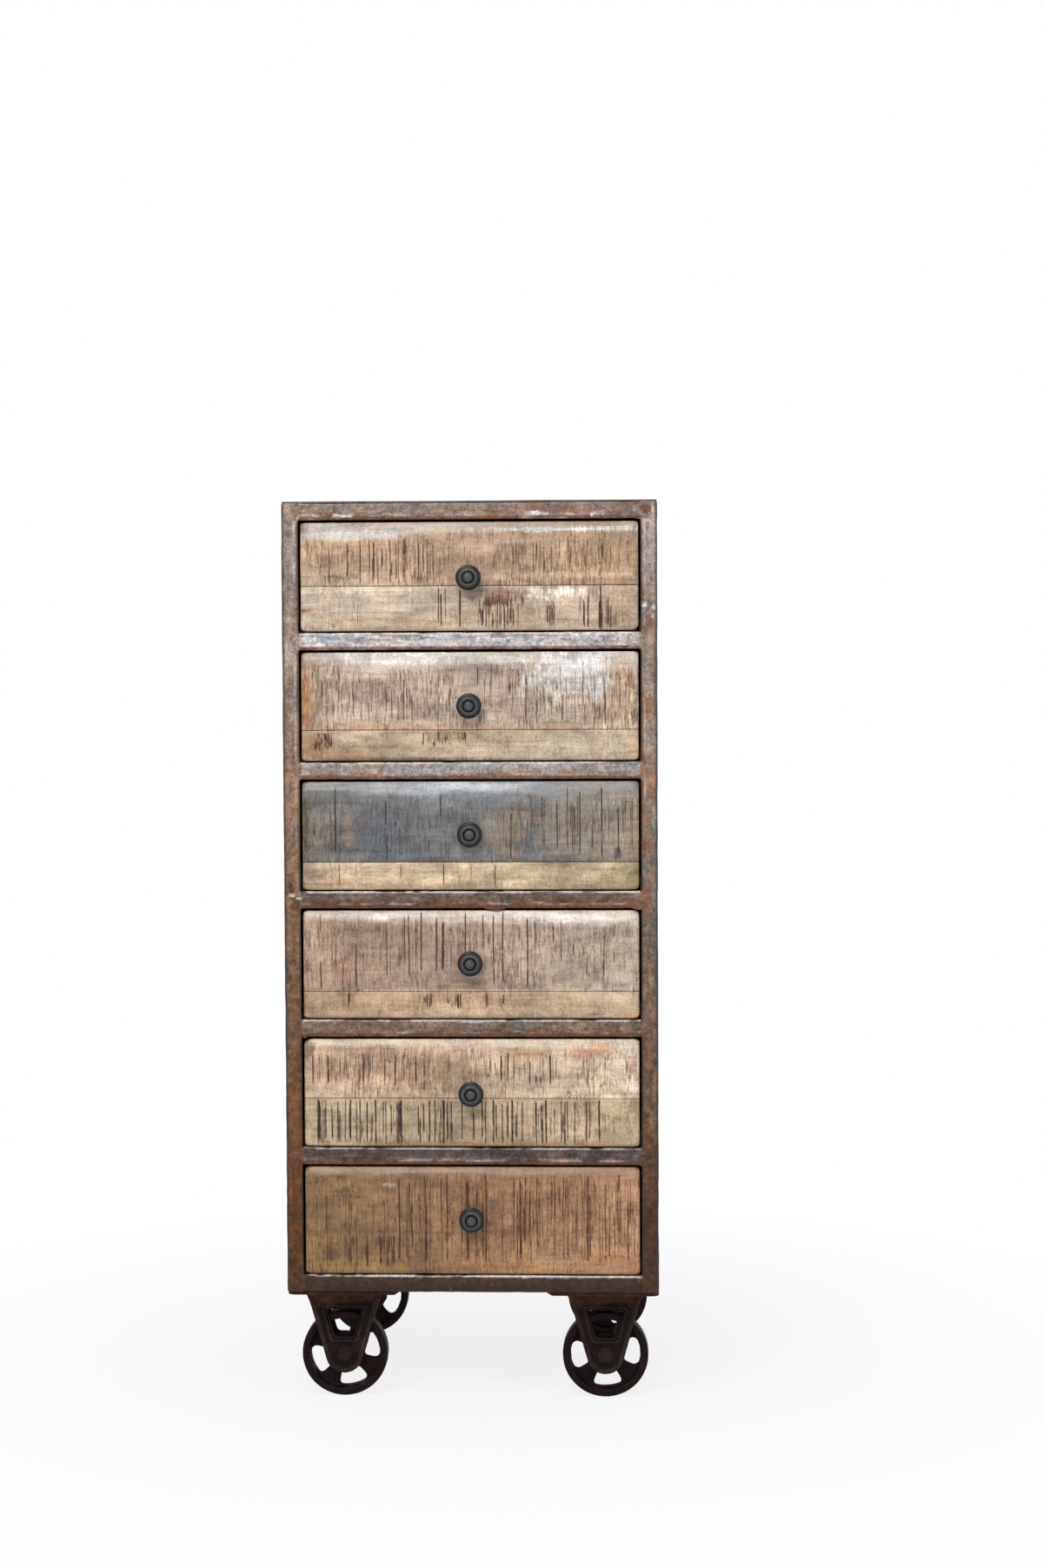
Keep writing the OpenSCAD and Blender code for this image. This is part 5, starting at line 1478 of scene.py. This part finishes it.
forkShape = {
    "legNear": 14.0, "legFace": 17.5, "ribFace": 19.0, "tipR": 22.0, "taper": 0.285, "ribWidth": 5.0,
    "recessTop": 71.0, "flareFrom": 60.0, "flareTo": 78, "flare": 3.2,
    "windowTop": (24.2, 57.0), "windowFoot": (14.0, 18.0), "windowMiddle": 38.0, "borderWidth": 2.3,
    "lip": 3.6, "lipThick": 1.6, "topCorner": 2.5, "footCorner": 4.5,
    "bossR": 7.6, "bossRing": (9.4, 8.2), "bossRingFace": 18.3, "fillet": 4.0, "filletIn": 3,
    "plateThick": 5.0, "plateRound": 7.0, "plateCorner": 1, "intoPlate": 0.5, "weldReach": 7.0,
    "weldStart": (1, 0.3),
}


def legOutline(inset, top):
    # fork leg about the axle: a round tip, straight sides and a flare under the plate
    shape = forkShape
    tip, taper = shape["tipR"] - inset, shape["taper"]
    slope = math.atan(taper)
    turns = np.linspace(-math.pi + slope, -slope, 21)
    arc = tip * together(np.cos(turns), np.sin(turns))
    heights = np.linspace(0, top, 12)[1:]
    flared = (heights - shape["flareFrom"]) / (shape["flareTo"] - shape["flareFrom"])
    sides = tip * math.sqrt(1 + taper ** 2) + taper * heights + shape["flare"] * np.clip(flared, 0, 1) ** 2
    right = together(sides, heights)
    return np.concatenate([arc, right, (right * (-1, 1))[::-1]])


def windowOutline(border):
    shape = forkShape
    (topX, topZ), (footX, footZ) = shape["windowTop"], shape["windowFoot"]
    topX, topZ, footX, footZ = topX + border, topZ + border, footX + border, footZ - border
    return roundOutline([(-footX, footZ, shape["footCorner"]), (footX, footZ, shape["footCorner"]),
                         (topX, topZ, shape["topCorner"]), (-topX, topZ, shape["topCorner"])], 5)


def forkShells(plateLow, plateTop, halfX, halfY):
    # heights are above the axle, and the plate's welded end is at +X
    shape = forkShape
    bend, corner = shape["plateRound"], shape["plateCorner"]
    plate = roundOutline([(-halfX, -halfY, bend), (halfX, -halfY, corner), (halfX, halfY, corner),
                          (-halfX, halfY, bend)])
    back, rise = shape["weldStart"]
    weld = np.array([(halfX - back, plateLow + rise), (halfX, plateLow + rise),
                     (halfX + shape["weldReach"], plateTop), (halfX - back, plateTop)])
    shells = [slabShell(plate, plateLow, plateTop, (0, 1, 2)), slabShell(weld, -halfY, halfY, (0, 2, 1))]
    centre, legTop = np.array([0, shape["windowMiddle"]]), plateLow + shape["intoPlate"]
    leg, window, border = legOutline(0, legTop), windowOutline(0), windowOutline(shape["borderWidth"])
    recess = legOutline(shape["ribWidth"], shape["recessTop"])
    turns = np.linspace(0, 2 * math.pi, 32, endpoint=False)
    circle = together(np.cos(turns), np.sin(turns))
    bossOuter, bossInner = (circle * radius for radius in shape["bossRing"])
    fillet = shape["fillet"]
    for side in (-1, 1):
        near, face, rib, ring = (side * shape[label]
                                 for label in ("legNear", "legFace", "ribFace", "bossRingFace"))
        lip = near + side * shape["lipThick"]
        shells += [ringShell(leg, window, centre, near, face), ringShell(leg, recess, centre, near, rib),
                   ringShell(border, window, centre, near, rib),
                   ringShell(border, windowOutline(-shape["lip"]), centre, near, lip),
                   slabShell(circle * shape["bossR"], near, rib, (0, 2, 1)),
                   ringShell(bossOuter, bossInner, np.zeros(2), near, ring)]
        for y, outward in ((rib, side), (near, -side)):
            corner = np.array([(y - outward, legTop), (y + outward * fillet, legTop),
                               (y - outward, plateLow - fillet - 1)])
            end = leg[:, 0].max() - shape["filletIn"]
            shells.append(slabShell(corner, -end, end, (1, 2, 0)))
    return shells


wheelShape = {
    "segments": 88, "hubSegments": 48, "turn": (-16, -4, 20, -34), "spokes": 4, "webHalf": 3.5, "boreR": 5.6,
    "openHalf": 27.0, "openNear": 23.5, "openFar": 41.5, "cornerNear": 4.0, "cornerFar": 6.0,
    # the quarter of the web about each opening: its outer and inner radius, half its angle and its middle
    "webOuter": 43.5, "webInner": 12.5, "webAngle": 46, "webMiddle": 33,
    # half of the rim's and of the hub's section, as radius and distance from the middle
    "rim": [(42.6, 3.0), (42.2, 9.0), (42.0, 12.0), (43.0, 12.5), (49.6, 12.5), (50.7, 11.4), (51.0, 7.0)],
    "hub": [(13.6, 4.0), (13.0, 12.6), (12.2, 13.5)],
}


def openingOutline(middle):
    # opening between two spokes, about the direction given in degrees
    shape = wheelShape
    near, far, half = shape["openNear"], shape["openFar"], shape["openHalf"]
    farRound, nearRound = shape["cornerFar"], shape["cornerNear"]
    corners = [(far, -half, farRound), (far, -half / 3, 0), (far, half / 3, 0), (far, half, farRound),
               (near, half, nearRound), (near, 0, 0), (near, -half, nearRound)]
    places = []
    for reach, angle, radius in corners:
        turn = math.radians(middle + angle)
        places.append((reach * math.cos(turn), reach * math.sin(turn), radius))
    return roundOutline(places, 5)


def ringLathe(profile, segments):
    # a closed profile of (radius, height) turned about the height axis
    shells = latheShell(profile, segments, 0, 0)
    verts, faces = shells[0][:-2], [face for face in shells[1] if len(face) == 4]
    return verts, faces + ringQuads((len(profile) - 1) * segments, 0, segments)


def wheelShells():
    shape = wheelShape
    rim = [(r, h) for r, h in shape["rim"]] + [(r, -h) for r, h in shape["rim"][::-1]]
    hub = [(shape["boreR"], shape["hub"][-1][1])] + shape["hub"][::-1]
    hub += [(r, -h) for r, h in hub[::-1]]
    shells = [turnedOut(ringLathe(rim, shape["segments"]), 0, 0, 0),
              turnedOut(ringLathe(hub, shape["hubSegments"]), 0, 0, 0)]
    for k in range(shape["spokes"]):
        middle = -90 + 360 / shape["spokes"] * k
        turns = np.radians(np.linspace(middle - shape["webAngle"], middle + shape["webAngle"], 13))
        arc = together(np.cos(turns), np.sin(turns))
        web = np.concatenate([shape["webOuter"] * arc, (shape["webInner"] * arc)[::-1]])
        away = math.radians(middle)
        centre = shape["webMiddle"] * np.array([math.cos(away), math.sin(away)])
        shells.append(ringShell(web, openingOutline(middle), centre, -shape["webHalf"], shape["webHalf"]))
    return shells


castTones = {
    "dark": (24, 12, 11), "grey": (33, 26, 25), "greyReach": (0.1, 0.6),
    "blotch": [(16, 0.6, 0), (5, 0.4, 1)], "rust": (0.12, 0.1), "moreRust": 0.3,
    # ribs of the fork paler, partly wear and partly a painted highlight, by distance from the wheel's middle,
    # and rust towards the plate
    "rib": (56, 46, 44), "ribReach": (18.0, 18.8), "ribShade": 0.75, "ribWearAndHighlight": (0.7, 0.5),
    "rusty": (66, 42, 30), "rustyShade": 0.85, "rustyEdge": 9,
    "ochre": (92, 64, 42), "ochreShade": 0.5, "ochreReach": (0.2, 0.6), "ochreSize": 9,
}


def castPaint(verts, axle, seed, rustFrom=None):
    # near black purple brown, greyer in places, and rusty towards the plate; axle is the wheel's middle
    tones = castTones
    blotch = noiseSum(verts, [(size, share, seed + k) for size, share, k in tones["blotch"]])
    tone = np.tile(srgb(*tones["dark"]), (len(verts), 1))
    tone = blendTone(tone, eased(blotch, *tones["greyReach"]), tones["grey"])
    rust = tones["rust"][0] + tones["rust"][1] * blotch
    if rustFrom is not None:
        level, swing = tones["ribWearAndHighlight"]
        # paler raised ribs: partly wear, partly a painted highlight
        rib = eased(np.abs(verts[:, 1] - axle.y), *tones["ribReach"])
        tone = blendTone(tone, tones["ribShade"] * rib * (level + swing * blotch), tones["rib"])
        height = verts[:, 2] - axle.z + tones["rustyEdge"] * blotch
        rusty = eased(height, rustFrom, rustFrom + castShape["rustBlend"])
        tone = blendTone(tone, tones["rustyShade"] * rusty, tones["rusty"])
        ochre = eased(latticeNoise(verts, tones["ochreSize"], seed + 3), *tones["ochreReach"])
        tone = blendTone(tone, tones["ochreShade"] * rusty * ochre, tones["ochre"])
        rust = rust + tones["moreRust"] * rusty
    return {"tone": tone, "rust": np.clip(rust, 0, 1)}


def castPiece(name, body, node, verts, faces, paint):
    makePiece(name, (verts, faces), body, castIron, [node], paint, castShape["sharp"])


def makeCasters():
    wheel = fusedCasting(wheelShells(), 210)
    forks = {}
    for k, name in enumerate(casterNames):
        low, high = cadCorners(f"wheel_{name}")
        axle = (low + high) / 2
        plateLow, plateHigh = cadCorners(f"caster_bracket_{name}")
        if not forks:
            halfX, halfY = (plateHigh.x - plateLow.x) / 2, (plateHigh.y - plateLow.y) / 2
            plateTop = plateHigh.z - axle.z
            fork = fusedCasting(forkShells(plateTop - forkShape["plateThick"], plateTop, halfX, halfY), 230)
            forks = {-1: fork[0], 1: fork[0] * (-1, 1, 1)}
        verts = forks[1 if axle.x > 0 else -1] + np.array(axle)
        verts[:, 0] = np.clip(verts[:, 0], -bars["half"], bars["half"])
        castPiece(f"caster_fork_{name}", "cabinet", f"caster_bracket_{name}", verts, fork[1],
                  castPaint(verts, axle, 240 + k, castShape["rustFrom"]))
        turn = math.radians(wheelShape["turn"][k])
        x, y, z = wheel[0].T
        verts = together(x * math.cos(turn) + z * math.sin(turn), y, z * math.cos(turn) - x * math.sin(turn))
        verts = verts + np.array(axle)
        verts[:, 2] = np.maximum(verts[:, 2], castShape["overFloor"])
        castPiece(f"cast_wheel_{name}", f"wheel_{name}", f"wheel_{name}", verts, wheel[1],
                  castPaint(verts, axle, 250 + k))


makeCasters()
print("casters are made")


# nodes that keep their own shape: softened edges and a finish

softAngle = 40  # edges sharper than this are softened, in degrees


def dressNode(name, material, bevel, segments=2):
    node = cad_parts[name]
    node.data.materials.clear()
    node.data.materials.append(material)
    soften = node.modifiers.new("soften", "BEVEL")
    soften.width = bevel * mm
    soften.segments = segments
    soften.limit_method = "ANGLE"
    soften.angle_limit = math.radians(softAngle)


for number in drawerNumbers:
    for part in ("sides", "back", "bottom"):
        dressNode(f"drawer_{number}_{part}", boxWood, 0.8)
for name in ("runners_left", "runners_right", "caster_pads", "bottom_panel"):
    dressNode(name, innerIron, 0.35)
for name in ("panel_rivets", "caster_bolts", "caster_nuts"):
    dressNode(name, fastenerSteel, 0.4)
dressNode("caster_axles", axleIron, 0.8, 3)
print("the other nodes are dressed")


# studio: pale floor, white surroundings, soft light from above the front

studio = {
    "floorSize": 14.0, "floorColor": (244, 244, 243), "clearLeast": 0.84, "clearFrom": 0.25, "clearTo": 1.0,
    "worldLight": 0.4, "keyPlace": (-0.7, -2.6, 3.1), "keyAim": (0.0, -0.15, 0.55), "keySize": 1.7,
    "keyPower": 76, "fillPlace": (2.2, -2.4, 1.6), "fillSize": 1.6, "fillPower": 12,
}
viewpoint = {
    "place": (0.1873, -3.3255, 0.875), "yaw": -2.321, "pitch": -2.603, "roll": -0.264,
    "lens": 61.96, "sensor": 36,
}


def seenDirectly(tree):
    # 1 for what the camera sees, also in gloss and through glass
    path = addNode(tree, "ShaderNodeLightPath").outputs
    seen = maths(tree, "MAXIMUM", path["Is Camera Ray"], path["Is Glossy Ray"])
    return maths(tree, "MAXIMUM", seen, path["Is Transmission Ray"])


def makeWorld():
    world = bpy.data.worlds.new("white_studio")
    scene.world = world
    world.use_nodes = True
    tree = world.node_tree
    background = tree.nodes["Background"]
    background.inputs["Color"].default_value = (1, 1, 1, 1)
    strength = mapped(tree, seenDirectly(tree), 0, 1, studio["worldLight"], 1.0)
    tree.links.new(strength, background.inputs["Strength"])


def makeFloor():
    half = studio["floorSize"] / 2
    mesh = bpy.data.meshes.new("studio_floor")
    corners = [(-half, -half, 0), (half, -half, 0), (half, half, 0), (-half, half, 0)]
    mesh.from_pydata(corners, [], [(0, 1, 2, 3)])
    floor = bpy.data.objects.new("studio_floor", mesh)
    scene.collection.objects.link(floor)
    material = bpy.data.materials.new("pale_floor")
    material.use_nodes = True
    tree = material.node_tree
    tree.nodes.remove(tree.nodes["Principled BSDF"])
    diffuse = addNode(tree, "ShaderNodeBsdfDiffuse", {"Color": rgba(*studio["floorColor"])})
    white = addNode(tree, "ShaderNodeEmission", {"Color": (1, 1, 1, 1)})
    place = addNode(tree, "ShaderNodeTexCoord").outputs["Object"]
    distance = addNode(tree, "ShaderNodeVectorMath", {0: place}, operation="LENGTH").outputs["Value"]
    clear = mapped(tree, distance, studio["clearFrom"], studio["clearTo"], studio["clearLeast"])
    factor = times(tree, clear, seenDirectly(tree))
    mix = addNode(tree, "ShaderNodeMixShader", {0: factor, 1: diffuse.outputs[0], 2: white.outputs[0]})
    tree.links.new(mix.outputs[0], tree.nodes["Material Output"].inputs["Surface"])
    mesh.materials.append(material)


def makeLamp(kind):
    light = bpy.data.lights.new(f"{kind}_light", "AREA")
    light.size = studio[f"{kind}Size"]
    light.energy = studio[f"{kind}Power"]
    lamp = bpy.data.objects.new(f"{kind}_light", light)
    lamp.location = studio[f"{kind}Place"]
    lamp.rotation_euler = (Vector(studio["keyAim"]) - lamp.location).to_track_quat("-Z", "Y").to_euler()
    scene.collection.objects.link(lamp)


def makeCamera():
    yaw, pitch, roll = (math.radians(viewpoint[label]) for label in ("yaw", "pitch", "roll"))
    look = Vector((math.sin(yaw) * math.cos(pitch), math.cos(yaw) * math.cos(pitch), math.sin(pitch)))
    level = Vector((math.cos(yaw), -math.sin(yaw), 0))
    above = level.cross(look)
    right = level * math.cos(roll) + above * math.sin(roll)
    up = above * math.cos(roll) - level * math.sin(roll)
    lensData = bpy.data.cameras.new("front_camera")
    lensData.lens = viewpoint["lens"]
    lensData.sensor_width = viewpoint["sensor"]
    camera = bpy.data.objects.new("front_camera", lensData)
    turn = Matrix((right, up, -look)).transposed().to_4x4()
    camera.matrix_world = Matrix.Translation(viewpoint["place"]) @ turn
    scene.collection.objects.link(camera)
    scene.camera = camera


makeWorld()
makeFloor()
makeLamp("key")
makeLamp("fill")
makeCamera()
print("studio and camera are made")
